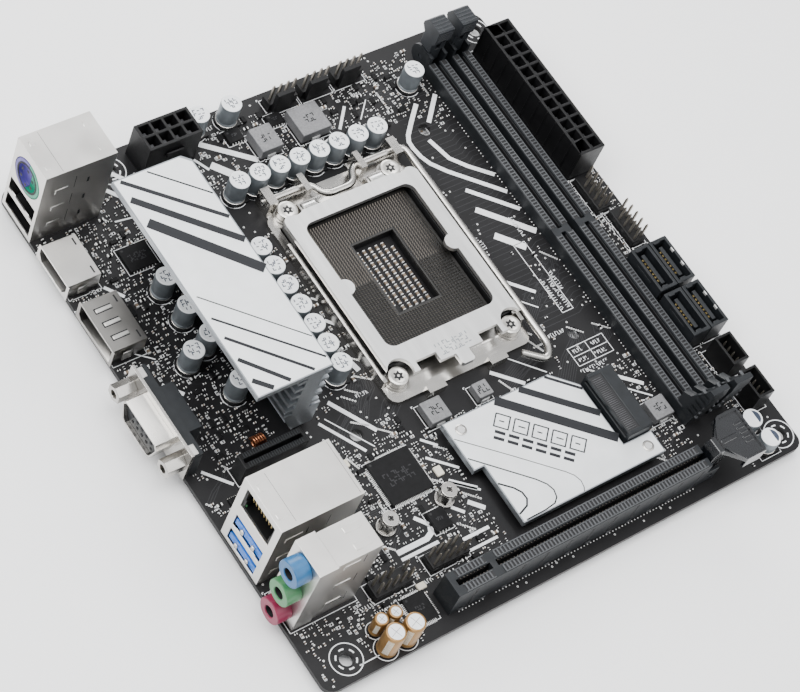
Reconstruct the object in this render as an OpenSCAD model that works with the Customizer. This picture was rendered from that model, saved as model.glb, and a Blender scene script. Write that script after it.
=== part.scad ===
// Compact computer motherboard, modelled as an assembly of its separate pieces.
// Lengths are in millimetres. +X runs from the rear connectors to the memory sockets,
// +Y from the expansion slot to the power edge, +Z up from the board.

/* [Board] */
// Board length from the rear edge to the memory edge
board_x = 170; // [165:1:210]
// Board length from the expansion slot edge to the power edge
board_y = 170; // [165:1:210]
// Board thickness
board_t = 1.6; // [1.2:0.1:2.4]
// Corner radius of the board
corner_r = 3.5; // [1:0.5:6]
// Diameter of the case mounting holes
case_hole_d = 3.96; // [3.5:0.02:4.4]

/* [Processor socket] */
// Socket centre from the rear edge
socket_x = 89.3; // [88:0.1:92]
// Socket centre from the expansion slot edge
socket_y = 99.6; // [98:0.1:101]
// Spacing of the cooler holes, both ways
cooler_pitch = 78; // [75:1:80]
// Diameter of the cooler holes
cooler_hole_d = 4; // [3.5:0.1:4.5]
// Height of the socket's plastic wall
socket_wall_h = 5.2; // [4:0.1:6]
// Thickness of the load plate
load_plate_t = 1.5; // [1:0.1:2]
// Diameter of the load lever's wire
lever_d = 2.3; // [1.8:0.1:2.6]

/* [Heatsinks] */
// Length of the power stage heatsink
vrm_len = 73.5; // [60:0.5:78]
// Height of its top above the board
vrm_top = 33; // [30:0.5:40]
// Thickness of its top plate
vrm_plate_t = 1.8; // [1.2:0.1:3]
// Top of the chipset heatsink above the board
chip_top = 4.8; // [4:0.1:6]
// Thickness of the chipset heatsink
chip_plate_t = 2.2; // [1.5:0.1:2.6]

/* [Memory sockets] */
// Width of a memory socket
dimm_w = 6.2; // [5.6:0.1:7.5]
// Distance between the two memory sockets
dimm_pitch = 8.9; // [8.6:0.1:11]
// Height of the socket's body
dimm_h = 5; // [4.5:0.1:9]
// Width of the slot for the memory module
dimm_slot_w = 1.6; // [1.4:0.1:1.9]
// Distance between the two end supports
dimm_reach = 131; // [120:1:133]

/* [Expansion slot] */
// Length of the expansion slot
pcie_len = 89.9; // [80:0.1:92]
// Width of the expansion slot
pcie_w = 7.4; // [7:0.1:8]
// Height of the expansion slot
pcie_h = 11.2; // [9:0.1:13]

/* [Rear connectors] */
// Height of the stack with the round port
ps2_h = 30.3; // [24:0.1:33]
// Height of the network stack
lan_h = 29.6; // [24:0.1:33]
// Height of the audio stack
audio_h = 31; // [24:0.1:33]
// Spacing of the video connector's hex nuts
vga_pitch = 24.99; // [24:0.01:26]

/* [Power and drives] */
// Height of the power headers
power_h = 13; // [11:0.1:15]
// Cell pitch of the power headers
power_pitch = 4.2; // [4:0.1:4.4]
// Height of the drive connectors
sata_h = 8.6; // [8:0.1:10]

/* [Small parts] */
// Diameter of the polymer capacitors
cap_d = 6.3; // [5:0.1:6.6]
// Height of the polymer capacitors
cap_h = 8.8; // [6:0.1:11]
// Pitch of the header pins
pin_pitch = 2.54; // [2.5:0.01:2.6]

/* [Hidden] */

gap = 0.3;               // clear space between pieces that move past each other
eps = 0.01;              // overshoot of a cut past a face

// Case holes, from the nearest edges
hole_rear_in = 10.16;
hole_rear_top_in = 33.02;
hole_right_in = 4.9;
hole_low_in = 6.35;
hole_top_in = 6.17;
case_holes = [[hole_rear_in, hole_low_in], [board_x - hole_right_in, hole_low_in],
    [hole_rear_top_in, board_y - hole_top_in], [board_x - hole_right_in, board_y - hole_top_in]];

// Load mechanism
load_top_screws = [[-18.5, 29.9], [18.1, 29.9]];
load_low_screws = [[-20, -29.8], [20.1, -29.8]];
load_screws = concat(load_top_screws, load_low_screws);
screw_r = 1.6;
screw_board_clear = 0.4;
screw_head_r = 3.1;
screw_head_h = 2.2;
backplate_t = 2.2;
frame_t = 1.6;
frame_w = 50;
frame_low = 36;
frame_high = 34.5;
housing_x = 44.5;
housing_y = 53;
housing_wall = 3.2;
cavity_x = 14.4;
cavity_y = 24.6;
plate_z = socket_wall_h + 0.7;
plate_w = 47;
plate_low = 35;
plate_high = 26.8;
plate_open_w = 38.2;
plate_open_low = -22.6;
plate_open_high = 22.2;
plate_tongue_w = 9;
hinge_y = 28.6;
hinge_z = 4.4;
knuckle_r = 1.2;
knuckle_w = 4;
knuckle_x = 12;
cradle_w = 5.8;
lever_y = 35.3;
lever_z = 4;
lever_r = lever_d / 2;
lever_arm_x = 26.7;
lever_left_x = -24.2;
lever_end_y = -40.4;
crank_x0 = -7.3;
crank_x1 = 7.6;
crank_reach = 5.3;

// Power stage heatsink
vrm_y0 = 69.5;
vrm_x0 = 14.2;
vrm_x1 = 38.3;
vrm_foot_x0 = 33;
vrm_foot_x1 = 40;
vrm_foot_z = 2.5;
vrm_foot_h = 10;
vrm_core_x0 = 30.6;
vrm_core_x1 = 36.2;
vrm_fin_x0 = 27.9;
vrm_fin_x1 = 38.8;
vrm_fins = 5;
vrm_fin_t = 1.3;
vrm_chamfer = 2.3;
mosfet_h = 1;

// Chipset heatsink outline, from the rear and expansion slot edges
chip_x0 = 71.5;
chip_x1 = 116.4;
chip_x2 = 126.5;
chip_y0 = 15.8;
chip_y1 = 23.2;
chip_y2 = 51.4;
chip_step_x = 75;
chip_step_y = 35.3;
chip_corner = 7;
rivet_r = 1.5;
rivets = [[75.5, 47.6], [122.6, 19.4]];
chip_die = 22;
chip_die_x = 96;
chip_die_y = 36;

// Memory sockets
dimm_ax = board_x - 27;
dimm_bx = dimm_ax + dimm_pitch;
dimm_y0 = 25 + (board_y - 170) / 2;
dimm_y1 = dimm_y0 + dimm_reach;
dimm_key_y = dimm_y0 + 64.8;
dimm_key_w = 1.6;
dimm_floor = 1;
tower_h = 20.3;
tower_low_h = 10;
tower_groove = 1.6;
latch_h = 18.7;
latch_w = dimm_w - 0.4;
latch_stem_w = dimm_w - 2.4;
latch_pivot_y = dimm_y1 + 4.4;
latch_pivot_z = 4;
latch_cheek_h = 2 * latch_pivot_z;
cheek_t = 1;
pivot_r = 0.8;
pivot_play = 0.05;
contact_t = 0.25;

// Expansion slot
pcie_x0 = 42.1;
pcie_x1 = pcie_x0 + pcie_len;
pcie_y0 = 4.1;
pcie_y = pcie_y0 + pcie_w / 2;
pcie_slot_w = 1.8;
pcie_slot_z = 3;
pcie_key_x = pcie_x0 + 14.2;
pcie_key_w = 1.9;
pcie_pivot_x = pcie_x1 + 2.6;
pcie_pivot_z = 3.4;
paddle_x1 = pcie_x1 + 15.8;
paddle_top = 14.6;
paddle_w = 15.4;

// M.2 sockets and standoffs
m2_x0 = chip_x1 + 1.2;
m2_w = 8.8;
m2_y = 34.3;
m2_len = 21.8;
m2_h = 8;
m2_slot_z = 5.4;
standoff_h = 5;
standoff_r = 2.6;
standoffs = [[41.3, 33.4], [61.2, 33.4]];
wifi_x = 22.6;
wifi_y = 64.6;
wifi_len = 20.5;
wifi_w = 4.8;
wifi_h = 8.4;

// Power headers
power_w = 2 * power_pitch + 1;
power_wall = 0.9;
power_floor = 2;
atx24_x0 = board_x - 10.9;
atx24_y1 = board_y - 12.9;
atx24_len = 12 * power_pitch + 1;
atx8_x0 = 40.3;
atx8_len = 4 * power_pitch + 1;
atx8_y0 = board_y - 2.4 - power_w;

// Drive connectors
sata_x = board_x - 14.2;
sata_y = 41.4;
sata_w = 6.6;
sata_l = 15.4;
sata_gap_x = 0.3;
sata_gap_y = 1.2;
sata_wall = 1;

// Pin headers: centre, columns along Y (or X), rows
pin_w = 0.64;
pin_h = 8.4;
base_h = 2.5;
usb_headers = [[board_x - 7.5, 98], [board_x - 4.5, 84]];
com_header = [51.4, 18.9];
aafp_header = [32.4, 18.9];
shroud_x = board_x - 9.2;
shroud_y = [15.9, 28.3];
shroud_w = 6.1;
shroud_l = 9.8;
shroud_h = 8.8;
shroud_wall = 0.8;
fan_x = [92.1, 104, 116];
fan_y = board_y - 4.6;
fan_l = 10.16;
fan_w = 3.6;
fan_key_h = 8.2;
fan_key_l = 6;

// Rear connectors
ps2_y0 = board_y - 17.9;
ps2_w = 15;
ps2_d = 22.4;
shell_t = 0.4;
lan_y0 = 35.1;
lan_w = 17.6;
lan_d = 26.2;
hdmi_y = 139.5;
hdmi_w = 14.5;
hdmi_h = 6;
hdmi_d = 10.9;
dp_y = 117.4;
dp_w = 16.8;
dp_h = 6.8;
dp_d = 11.2;
vga_y = 85.5;
vga_z = 6.3;
vga_plate_w = 30.8;
vga_plate_h = 12.5;
vga_shell_w = 16.9;
vga_shell_h = 8.3;
vga_reach = 6;
nut_len = 6;
nut_af = 4.8;
audio_y0 = 19.7;
audio_w = 11.7;
audio_x0 = 1.4;
audio_front_d = 6.1;
audio_d = 20.4;
jack_r = 4;
jack_bore_r = 1.8;
jack_reach = 4.8;
jack_z = [26.6, 16, 5.4];
usb_w = 12.6;
usb_h = 5.2;
usb_depth = 12;
usb_tongue_w = 9.8;
lan_floor_z = 17.4;
usb2_z = [1.6, 8.6];
usb3_z = [1.4, 8.6];
ps2_z = 21.2;
ps2_hole_r = 6.2;

// Capacitors: rows beside the socket and single ones
cap_row_x0 = 61.2;
cap_row_y = 141.8;
cap_row_step = 6.94;
cap_col_x = 54.7;
cap_col_y0 = 78.8;
cap_col_step = 6.92;
single_caps = [[62.6, board_y - 4], [73.5, board_y - 4.4], [132.3, 154.6],
    [24.8, 122.9], [25.4, 112.6], [19.2, 99.6], [26.2, 102.4], [26, 86.4]];
audio_small = [[21.6, 9.6], [26.2, 9.6]];
audio_large = [[21.4, 3.9], [27.8, 3.9]];
low_cap_at = [[board_x - 12.8, 12.6], [board_x - 11.7, 5.2]];

// Where every module's board coordinates sit in the part's own frame
module place() {
    translate([-hole_rear_in, -hole_low_in, board_t])
        children();
}

module block(x0, y0, z0, dx, dy, dz) {
    translate([x0, y0, z0])
        cube([dx, dy, dz]);
}

module post(p, z, h, r, fn = 48) {
    translate([p[0], p[1], z])
        cylinder(h = h, r = r, $fn = fn);
}

// A flat plate with round corners, drawn from its corner
module round_rect(dx, dy, r) {
    translate([r, 0])
        square([dx - 2 * r, dy]);
    translate([0, r])
        square([dx, dy - 2 * r]);
    for (x = [r, dx - r], y = [r, dy - r])
        translate([x, y])
            circle(r = r, $fn = 32);
}

// Turns a profile drawn in X and Z so that it runs along Y
module along_y(y0, len) {
    translate([0, y0 + len, 0])
        rotate([90, 0, 0])
            linear_extrude(len)
                children();
}

// Turns a profile drawn in Y and Z so that it runs along X
module along_x(x0, len) {
    translate([x0, 0, 0])
        rotate([90, 0, 90])
            linear_extrude(len)
                children();
}

module rod_x(x0, y, z, len, r, fn = 32) {
    translate([x0, y, z])
        rotate([0, 90, 0])
            cylinder(h = len, r = r, $fn = fn);
}

// Board and socket --------------------------------------------------

module circuit_board() {
    color([0.1, 0.1, 0.11])
    place()
    translate([0, 0, -board_t])
    linear_extrude(board_t)
    difference() {
        round_rect(board_x, board_y, corner_r);
        for (p = case_holes)
            translate(p)
                circle(d = case_hole_d, $fn = 48);
        for (sx = [-0.5, 0.5], sy = [-0.5, 0.5])
            translate([socket_x + sx * cooler_pitch, socket_y + 0.4 + sy * cooler_pitch])
                circle(d = cooler_hole_d, $fn = 48);
        for (p = load_screws)
            translate([socket_x + p[0], socket_y + p[1]])
                circle(r = screw_r + screw_board_clear, $fn = 32);
    }
}

module socket_backplate() {
    color([0.45, 0.46, 0.48])
    place()
    translate([socket_x, socket_y, -board_t - backplate_t])
    linear_extrude(backplate_t)
    difference() {
        translate([-frame_w / 2, -frame_low])
            round_rect(frame_w, frame_low + frame_high, 4);
        translate([-housing_x / 2 + 6, -housing_y / 2 + 6])
            round_rect(housing_x - 12, housing_y - 12, 3);
        for (p = load_screws)
            translate(p)
                circle(r = screw_r + 0.05, $fn = 32);
    }
}

module socket_housing() {
    color([0.16, 0.15, 0.15])
    place()
    translate([socket_x, socket_y, 0])
    difference() {
        block(-housing_x / 2, -housing_y / 2, 0, housing_x, housing_y, socket_wall_h);
        block(-housing_x / 2 + housing_wall, -housing_y / 2 + housing_wall, 2.6,
            housing_x - 2 * housing_wall, housing_y - 2 * housing_wall, socket_wall_h);
        block(-cavity_x / 2, -cavity_y / 2, -eps, cavity_x, cavity_y, socket_wall_h);
    }
}

// The field of spring contacts, which surrounds the opening for the small capacitors
module socket_contacts() {
    color([0.5, 0.42, 0.25])
    place()
    translate([socket_x, socket_y, 2.6])
    difference() {
        block(-18.6, -23, 0, 37.2, 46, 0.7);
        block(-cavity_x / 2, -cavity_y / 2, -eps, cavity_x, cavity_y, 1);
    }
}

// The steel frame that the load plate and its lever hinge on
module socket_frame() {
    wall = 1.2;
    ear = 6;
    color([0.78, 0.78, 0.77])
    place()
    translate([socket_x, socket_y, 0])
    difference() {
        union() {
            linear_extrude(frame_t)
                translate([-frame_w / 2, -frame_low])
                    round_rect(frame_w, frame_low + frame_high - 3, 3);
            // side walls
            for (x = [-frame_w / 2, frame_w / 2 - wall])
                block(x, -frame_low + 6, 0, wall, frame_low + 14, 4.4);
            // bosses under the screws
            for (p = load_screws)
                post(p, 0, frame_t + 0.8, screw_head_r + 0.6);
            // stops beside the plate's lower lip
            for (x = [-14, 8])
                block(x, -frame_low - 2, 0, ear, 2.5, 3.4);
            // clips that hold the lever's shaft
            for (x = [crank_x0 - 3.4, crank_x1 + 0.6])
                block(x, lever_y - 3, 0, 2.8, 6, lever_z + lever_r + 1.4);
            for (x = [lever_left_x + 0.8, lever_arm_x - 5.4])
                block(x, lever_y - 3, 0, 2.8, 6, lever_z + lever_r + 1.4);
            block(lever_left_x + 0.8, lever_y - 5, 0, lever_arm_x - lever_left_x - 3.4, 5.6, 1.1);
            // cradles of the load plate's hinge
            for (s = [-1, 1])
                block(s * knuckle_x - cradle_w / 2, hinge_y - 2, 0, cradle_w, 4, hinge_z);
            // tab that the lever's arm rests against
            block(lever_arm_x - lever_r - 3.4, -27.6, 0, 3, 4, lever_z + 1.6);
        }
        block(-housing_x / 2 - gap, -housing_y / 2 - gap, -eps, housing_x + 2 * gap,
            housing_y + 2 * gap, 20);
        // shaft bore, open for the crank's sweep
        rod_x(-40, lever_y, lever_z, 80, lever_r + 0.06, 48);
        block(crank_x0 - lever_r - gap, lever_y - 7.5, 1.2, crank_x1 - crank_x0 + 2 * lever_r + 2 * gap,
            12, 12);
        // hinge bores of the load plate
        for (s = [-1, 1])
            hull() {
                rod_x(s * knuckle_x - knuckle_w / 2 - gap, hinge_y, hinge_z, knuckle_w + 2 * gap,
                    knuckle_r + gap);
                rod_x(s * knuckle_x - knuckle_w / 2 - gap, hinge_y, hinge_z + 4, knuckle_w + 2 * gap,
                    knuckle_r + gap);
            }
        for (p = load_screws)
            post(p, -eps, 10, screw_r + 0.2, 32);
    }
}

module load_plate_outline() {
    difference() {
        translate([-plate_w / 2, -plate_low + 3])
            round_rect(plate_w, plate_low + plate_high - 3, 2.5);
        translate([-plate_open_w / 2, plate_open_low])
            round_rect(plate_open_w, plate_open_high - plate_open_low, 3);
        // hollows that clear the screws and the frame's cradles
        for (p = load_screws)
            translate(p)
                circle(r = screw_head_r + 0.8, $fn = 40);
        for (x = [-14.6, 7.4])
            translate([x, -plate_low])
                square([7.2, 6]);
    }
    // pressing tabs at the middle of both long sides
    for (s = [-1, 1])
        translate([s * plate_open_w / 2, -0.4])
            circle(r = 2.6, $fn = 32);
    translate([-plate_tongue_w / 4, -plate_low - 0.8])
        round_rect(plate_tongue_w / 2, 6, 1);
}

module load_plate() {
    color([0.82, 0.82, 0.81])
    place()
    translate([socket_x, socket_y, 0])
    union() {
        translate([0, 0, plate_z])
            linear_extrude(load_plate_t)
                load_plate_outline();
        for (s = [-1, 1]) {
            rod_x(s * knuckle_x - knuckle_w / 2, hinge_y, hinge_z, knuckle_w, knuckle_r);
            hull() {
                rod_x(s * knuckle_x - knuckle_w / 2 + 0.1, hinge_y - 0.2, hinge_z + 0.6, knuckle_w - 0.2,
                    0.6, 16);
                block(s * knuckle_x - knuckle_w / 2 + 0.1, plate_high - 1.6, plate_z,
                    knuckle_w - 0.2, 1, load_plate_t);
            }
        }
    }
}

// Flat run of wire through the given points, a hair slimmer than the shaft it grows from
module bent_wire(path) {
    for (i = [0 : len(path) - 2])
        hull()
            for (p = [path[i], path[i + 1]])
                translate(p)
                    sphere(r = lever_r - 0.03, $fn = 24);
}

module load_lever() {
    color([0.83, 0.83, 0.83])
    place()
    translate([socket_x, socket_y, lever_z])
    union() {
        rod_x(lever_left_x, lever_y, 0, crank_x0 - lever_left_x, lever_r);
        rod_x(crank_x1, lever_y, 0, lever_arm_x - crank_x1, lever_r);
        bent_wire([[crank_x0, lever_y], [crank_x0 + 2.4, lever_y - crank_reach],
            [crank_x1 - 2.4, lever_y - crank_reach], [crank_x1, lever_y]]);
        bent_wire([[lever_arm_x, lever_y], [lever_arm_x, lever_end_y],
            [lever_arm_x - 3, lever_end_y - 3.6], [lever_arm_x - 9, lever_end_y + 1.6]]);
    }
}

module socket_screws() {
    color([0.4, 0.4, 0.42])
    place()
    translate([socket_x, socket_y, 0])
    for (p = load_screws)
        difference() {
            union() {
                post(p, frame_t + 0.8, screw_head_h, screw_head_r);
                post(p, -board_t - backplate_t, frame_t + 0.8 + board_t + backplate_t, screw_r, 32);
            }
            post(p, frame_t + 0.8 + screw_head_h - 1.2, 2, 1.3, 6);
        }
}

// Heatsinks ----------------------------------------------------------

module vrm_heatsink() {
    y1 = vrm_y0 + vrm_len;
    under = vrm_top - vrm_plate_t;
    foot_top = vrm_foot_z + vrm_foot_h;
    pitch = (under - foot_top) / vrm_fins;
    color([0.78, 0.8, 0.81])
    place()
    union() {
        difference() {
            block(vrm_x0, vrm_y0, under, vrm_x1 - vrm_x0, vrm_len, vrm_plate_t);
            translate([vrm_x1, y1, 0])
                rotate([0, 0, 45])
                    cube([vrm_chamfer * sqrt(2), vrm_chamfer * sqrt(2), 200], center = true);
        }
        along_y(vrm_y0, vrm_len)
            union() {
                polygon([[vrm_foot_x0, vrm_foot_z], [vrm_foot_x1, vrm_foot_z],
                    [vrm_foot_x1, foot_top], [vrm_fin_x0, foot_top]]);
                translate([vrm_core_x0, foot_top - eps])
                    square([vrm_core_x1 - vrm_core_x0, under - foot_top + 2 * eps]);
                for (i = [1 : vrm_fins])
                    translate([vrm_fin_x0, foot_top + i * pitch - vrm_fin_t - pitch * 0.25])
                        square([vrm_fin_x1 - vrm_fin_x0, vrm_fin_t]);
            }
    }
}

module vrm_thermal_pad() {
    color([0.6, 0.62, 0.66])
    place()
    block(vrm_foot_x0 + 0.5, vrm_y0 + 3, mosfet_h, 6, vrm_len - 6, vrm_foot_z - mosfet_h);
}

module vrm_mosfets() {
    count = 9;
    step = (vrm_len - 8) / count;
    color([0.13, 0.13, 0.14])
    place()
    for (i = [0 : count - 1])
        block(vrm_foot_x0 + 1, vrm_y0 + 4 + i * step + 1, 0, 5, step - 2, mosfet_h);
}

module chipset_heatsink() {
    color([0.86, 0.88, 0.89])
    place()
    difference() {
        translate([0, 0, chip_top - chip_plate_t])
            linear_extrude(chip_plate_t)
                polygon([[chip_x0, chip_y2], [chip_x0, chip_step_y], [chip_step_x, chip_step_y],
                    [chip_step_x, chip_y0], [chip_x2, chip_y0], [chip_x2, chip_y1],
                    [chip_x1, chip_y1], [chip_x1, chip_y2 - chip_corner],
                    [chip_x1 - chip_corner, chip_y2]]);
        for (p = rivets)
            post(p, 0, 10, rivet_r + 0.1, 32);
    }
}

module chipset_heatsink_pins() {
    color([0.75, 0.76, 0.77])
    place()
    for (p = rivets) {
        post(p, 0, chip_top + 0.3, rivet_r, 32);
        post(p, 0, chip_top - chip_plate_t, rivet_r + 1, 32);
    }
}

module chipset() {
    color([0.2, 0.25, 0.22])
    place()
    union() {
        block(chip_die_x - chip_die / 2, chip_die_y - chip_die / 2, 0, chip_die, chip_die, 1.2);
        block(chip_die_x - 5, chip_die_y - 5, 1.2, 10, 10, chip_top - chip_plate_t - 1.2);
    }
}

// Memory -------------------------------------------------------------

module dimm_socket(x) {
    difference() {
        union() {
            block(x - dimm_w / 2, dimm_y0 - 1, 0, dimm_w, dimm_reach + 1, dimm_h);
            // tall fixed support, its top leaning out over its foot
            along_x(x - dimm_w / 2, dimm_w)
                polygon([[dimm_y0 - 3.6, 0], [dimm_y0, 0], [dimm_y0 + 2.4, dimm_h],
                    [dimm_y0 + 2.4, tower_low_h], [dimm_y0 - 0.4, tower_low_h + 1.6],
                    [dimm_y0 - 3, tower_h - 3.4], [dimm_y0 - 4.2, tower_h], [dimm_y0 - 5.8, tower_h],
                    [dimm_y0 - 5.8, tower_h - 4]]);
            // cheeks that carry the latch, rounded about its pivot
            for (s = [x - dimm_w / 2, x + dimm_w / 2 - cheek_t])
                along_x(s, cheek_t)
                    union() {
                        translate([dimm_y1 - eps, 0])
                            square([latch_pivot_y - dimm_y1 + eps, 2 * latch_pivot_z]);
                        translate([latch_pivot_y, latch_pivot_z])
                            circle(r = latch_pivot_z, $fn = 48);
                    }
        }
        // slot for the module, broken by the key
        block(x - dimm_slot_w / 2, dimm_y0 - 2, dimm_floor, dimm_slot_w,
            dimm_key_y - dimm_key_w / 2 - dimm_y0 + 2, dimm_h * 5);
        block(x - dimm_slot_w / 2, dimm_key_y + dimm_key_w / 2, dimm_floor, dimm_slot_w,
            dimm_y1 - dimm_key_y + eps, dimm_h * 5);
        // bearing holes of the latch's pivot
        rod_x(x - dimm_w, latch_pivot_y, latch_pivot_z, 2 * dimm_w, pivot_r + pivot_play);
    }
}

module dimm_socket_a() {
    color([0.17, 0.19, 0.2])
    place()
    dimm_socket(dimm_ax);
}

module dimm_socket_b() {
    color([0.17, 0.19, 0.2])
    place()
    dimm_socket(dimm_bx);
}

module dimm_contacts() {
    color([0.83, 0.68, 0.32])
    place()
    for (x = [dimm_ax, dimm_bx], s = [-1, 1], span = [[dimm_y0 + 3, dimm_key_y - 1.6],
        [dimm_key_y + 1.6, dimm_y1 - 1]])
        block(x + s * (dimm_slot_w / 2 - contact_t / 2) - contact_t / 2, span[0], dimm_floor,
            contact_t, span[1] - span[0], dimm_h - dimm_floor - 0.6);
}

module dimm_latch(x) {
    back = latch_pivot_y + 2.4;
    difference() {
        union() {
            along_x(x - latch_stem_w / 2, latch_stem_w)
                union() {
                    translate([latch_pivot_y, latch_pivot_z])
                        circle(r = 2.4, $fn = 32);
                    polygon([[latch_pivot_y - 2.4, latch_pivot_z], [back, latch_pivot_z],
                        [back, latch_cheek_h + gap], [latch_pivot_y - 2.4, latch_cheek_h + gap]]);
                }
            along_x(x - latch_w / 2, latch_w)
                polygon([[latch_pivot_y - 2.4, latch_cheek_h + gap], [back, latch_cheek_h + gap],
                    [back, latch_h - 5.4], [back + 1.6, latch_h - 3.4], [back + 1.6, latch_h - 2.2],
                    [back + 0.2, latch_h], [latch_pivot_y - 3.4, latch_h],
                    [latch_pivot_y - 3.4, latch_h - 5.6], [latch_pivot_y - 2.4, latch_h - 6.6]]);
            rod_x(x - dimm_w / 2 + 0.2, latch_pivot_y, latch_pivot_z, dimm_w - 0.4, pivot_r);
        }
        // groove that takes the module's edge
        block(x - dimm_slot_w / 2, latch_pivot_y - 4, latch_cheek_h + 1, dimm_slot_w, 3.4, 20);
    }
}

module dimm_latch_a() {
    color([0.33, 0.35, 0.36])
    place()
    dimm_latch(dimm_ax);
}

module dimm_latch_b() {
    color([0.33, 0.35, 0.36])
    place()
    dimm_latch(dimm_bx);
}

// Expansion slot -----------------------------------------------------

module pcie_slot() {
    cheek = 0.9;
    color([0.2, 0.22, 0.24])
    place()
    difference() {
        union() {
            block(pcie_x0, pcie_y0, 0, pcie_len, pcie_w, pcie_h);
            for (y = [pcie_y0, pcie_y0 + pcie_w - cheek])
                block(pcie_x1 - eps, y, 0, 5, cheek, 6.4);
        }
        block(pcie_x0 + 1.8, pcie_y - pcie_slot_w / 2, pcie_slot_z,
            pcie_key_x - pcie_key_w / 2 - pcie_x0 - 1.8, pcie_slot_w, pcie_h);
        block(pcie_key_x + pcie_key_w / 2, pcie_y - pcie_slot_w / 2, pcie_slot_z,
            pcie_x1 - pcie_key_x - pcie_key_w / 2 + eps, pcie_slot_w, pcie_h);
        translate([pcie_pivot_x, pcie_y0 - 1, pcie_pivot_z])
            rotate([-90, 0, 0])
                cylinder(h = pcie_w + 2, r = pivot_r + pivot_play, $fn = 32);
    }
}

module pcie_contacts() {
    color([0.83, 0.68, 0.32])
    place()
    for (s = [-1, 1], span = [[pcie_x0 + 3, pcie_key_x - 1.8], [pcie_key_x + 1.8, pcie_x1 - 2]])
        block(span[0], pcie_y + s * (pcie_slot_w / 2 - contact_t / 2) - contact_t / 2, pcie_slot_z,
            span[1] - span[0], contact_t, pcie_h - pcie_slot_z - 1);
}

// Latch at the far end of the slot, with a wide paddle to press down
module pcie_latch() {
    stem = pcie_w - 1.8 - 2 * gap;
    color([0.24, 0.25, 0.29, 0.9])
    place()
    translate([0, pcie_y, 0])
    union() {
        along_y(-stem / 2, stem)
            union() {
                translate([pcie_pivot_x, pcie_pivot_z])
                    circle(r = 1.9, $fn = 32);
                polygon([[pcie_pivot_x - 1.9, pcie_pivot_z], [pcie_pivot_x + 1.9, pcie_pivot_z],
                    [pcie_pivot_x + 5, paddle_top - 3], [pcie_pivot_x + 5, paddle_top],
                    [pcie_pivot_x - 0.4, paddle_top], [pcie_pivot_x - 1.9, paddle_top - 2]]);
            }
        translate([0, 0, paddle_top - 2])
            linear_extrude(2)
                polygon([[pcie_pivot_x + 1, -stem / 2], [pcie_pivot_x + 6, -paddle_w / 2],
                    [paddle_x1, -paddle_w / 2], [paddle_x1, paddle_w / 2],
                    [pcie_pivot_x + 6, paddle_w / 2], [pcie_pivot_x + 1, stem / 2]]);
        for (y = [-paddle_w / 2, -1, paddle_w / 2 - 1])
            block(pcie_pivot_x + 6, y, paddle_top - 5, paddle_x1 - pcie_pivot_x - 6.4, 1, 3.2);
        translate([pcie_pivot_x, -pcie_w / 2 + 0.1, pcie_pivot_z])
            rotate([-90, 0, 0])
                cylinder(h = pcie_w - 0.2, r = pivot_r, $fn = 32);
    }
}

// M.2 sockets --------------------------------------------------------

module m2_socket() {
    color([0.2, 0.22, 0.24])
    place()
    difference() {
        block(m2_x0, m2_y - m2_len / 2, 0, m2_w, m2_len, m2_h);
        block(m2_x0 - eps, m2_y - m2_len / 2 + 0.9, m2_slot_z, 5, m2_len - 1.8, 1.2);
    }
}

module wifi_socket() {
    color([0.15, 0.16, 0.17])
    place()
    difference() {
        block(wifi_x - wifi_len / 2, wifi_y - wifi_w / 2, 0, wifi_len, wifi_w, wifi_h);
        block(wifi_x - wifi_len / 2 + 0.9, wifi_y - 0.6, 3.4, wifi_len - 1.8, 1.2, wifi_h);
    }
}

module m2_standoffs() {
    color([0.76, 0.77, 0.78])
    place()
    for (p = standoffs)
        difference() {
            union() {
                post(p, 0, 1, 2.9);
                post(p, 1, standoff_h - 1, standoff_r, 6);
            }
            post(p, -eps, 10, 1.05, 24);
        }
}

module m2_screws() {
    color([0.85, 0.86, 0.86])
    place()
    for (p = standoffs)
        difference() {
            union() {
                post(p, 0.4, standoff_h - 0.4, 1, 24);
                post(p, standoff_h, 0.9, 2.4, 32);
            }
            post(p, standoff_h, 2, 0.8, 6);
        }
}

// Power --------------------------------------------------------------

module power_header(cols, rows) {
    dx = cols * power_pitch + 1;
    dy = rows * power_pitch + 1;
    cell = power_pitch - power_wall;
    difference() {
        block(0, 0, 0, dx, dy, power_h);
        for (i = [0 : cols - 1], j = [0 : rows - 1])
            block(0.5 + power_wall / 2 + i * power_pitch, 0.5 + power_wall / 2 + j * power_pitch,
                power_floor, cell, cell, power_h);
    }
}

module power_header_pins(cols, rows) {
    for (i = [0 : cols - 1], j = [0 : rows - 1])
        block(0.5 + (i + 0.5) * power_pitch - 0.6, 0.5 + (j + 0.5) * power_pitch - 0.6,
            power_floor, 1.2, 1.2, power_h - power_floor - 2.6);
}

module atx24_header() {
    color([0.1, 0.1, 0.11])
    place()
    translate([atx24_x0, atx24_y1 - atx24_len, 0])
        power_header(2, 12);
}

module atx8_header() {
    color([0.1, 0.1, 0.11])
    place()
    translate([atx8_x0, atx8_y0, 0])
        power_header(4, 2);
}

module power_pins() {
    color([0.8, 0.8, 0.78])
    place() {
        translate([atx24_x0, atx24_y1 - atx24_len, 0])
            power_header_pins(2, 12);
        translate([atx8_x0, atx8_y0, 0])
            power_header_pins(4, 2);
    }
}

// Drives -------------------------------------------------------------

module sata_positions() {
    for (i = [0, 1], j = [0, 1])
        translate([sata_x + i * (sata_w + sata_gap_x), sata_y + j * (sata_l + sata_gap_y), 0])
            children();
}

module sata_ports() {
    color([0.18, 0.2, 0.21])
    place()
    sata_positions()
    union() {
        difference() {
            block(0, 0, 0, sata_w, sata_l, sata_h);
            block(sata_wall, sata_wall, 2, sata_w - 2 * sata_wall, sata_l - 2 * sata_wall, sata_h);
        }
        block(2.5, 2.4, 2 - eps, 1.3, sata_l - 4.8, sata_h - 2.8);
    }
}

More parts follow.
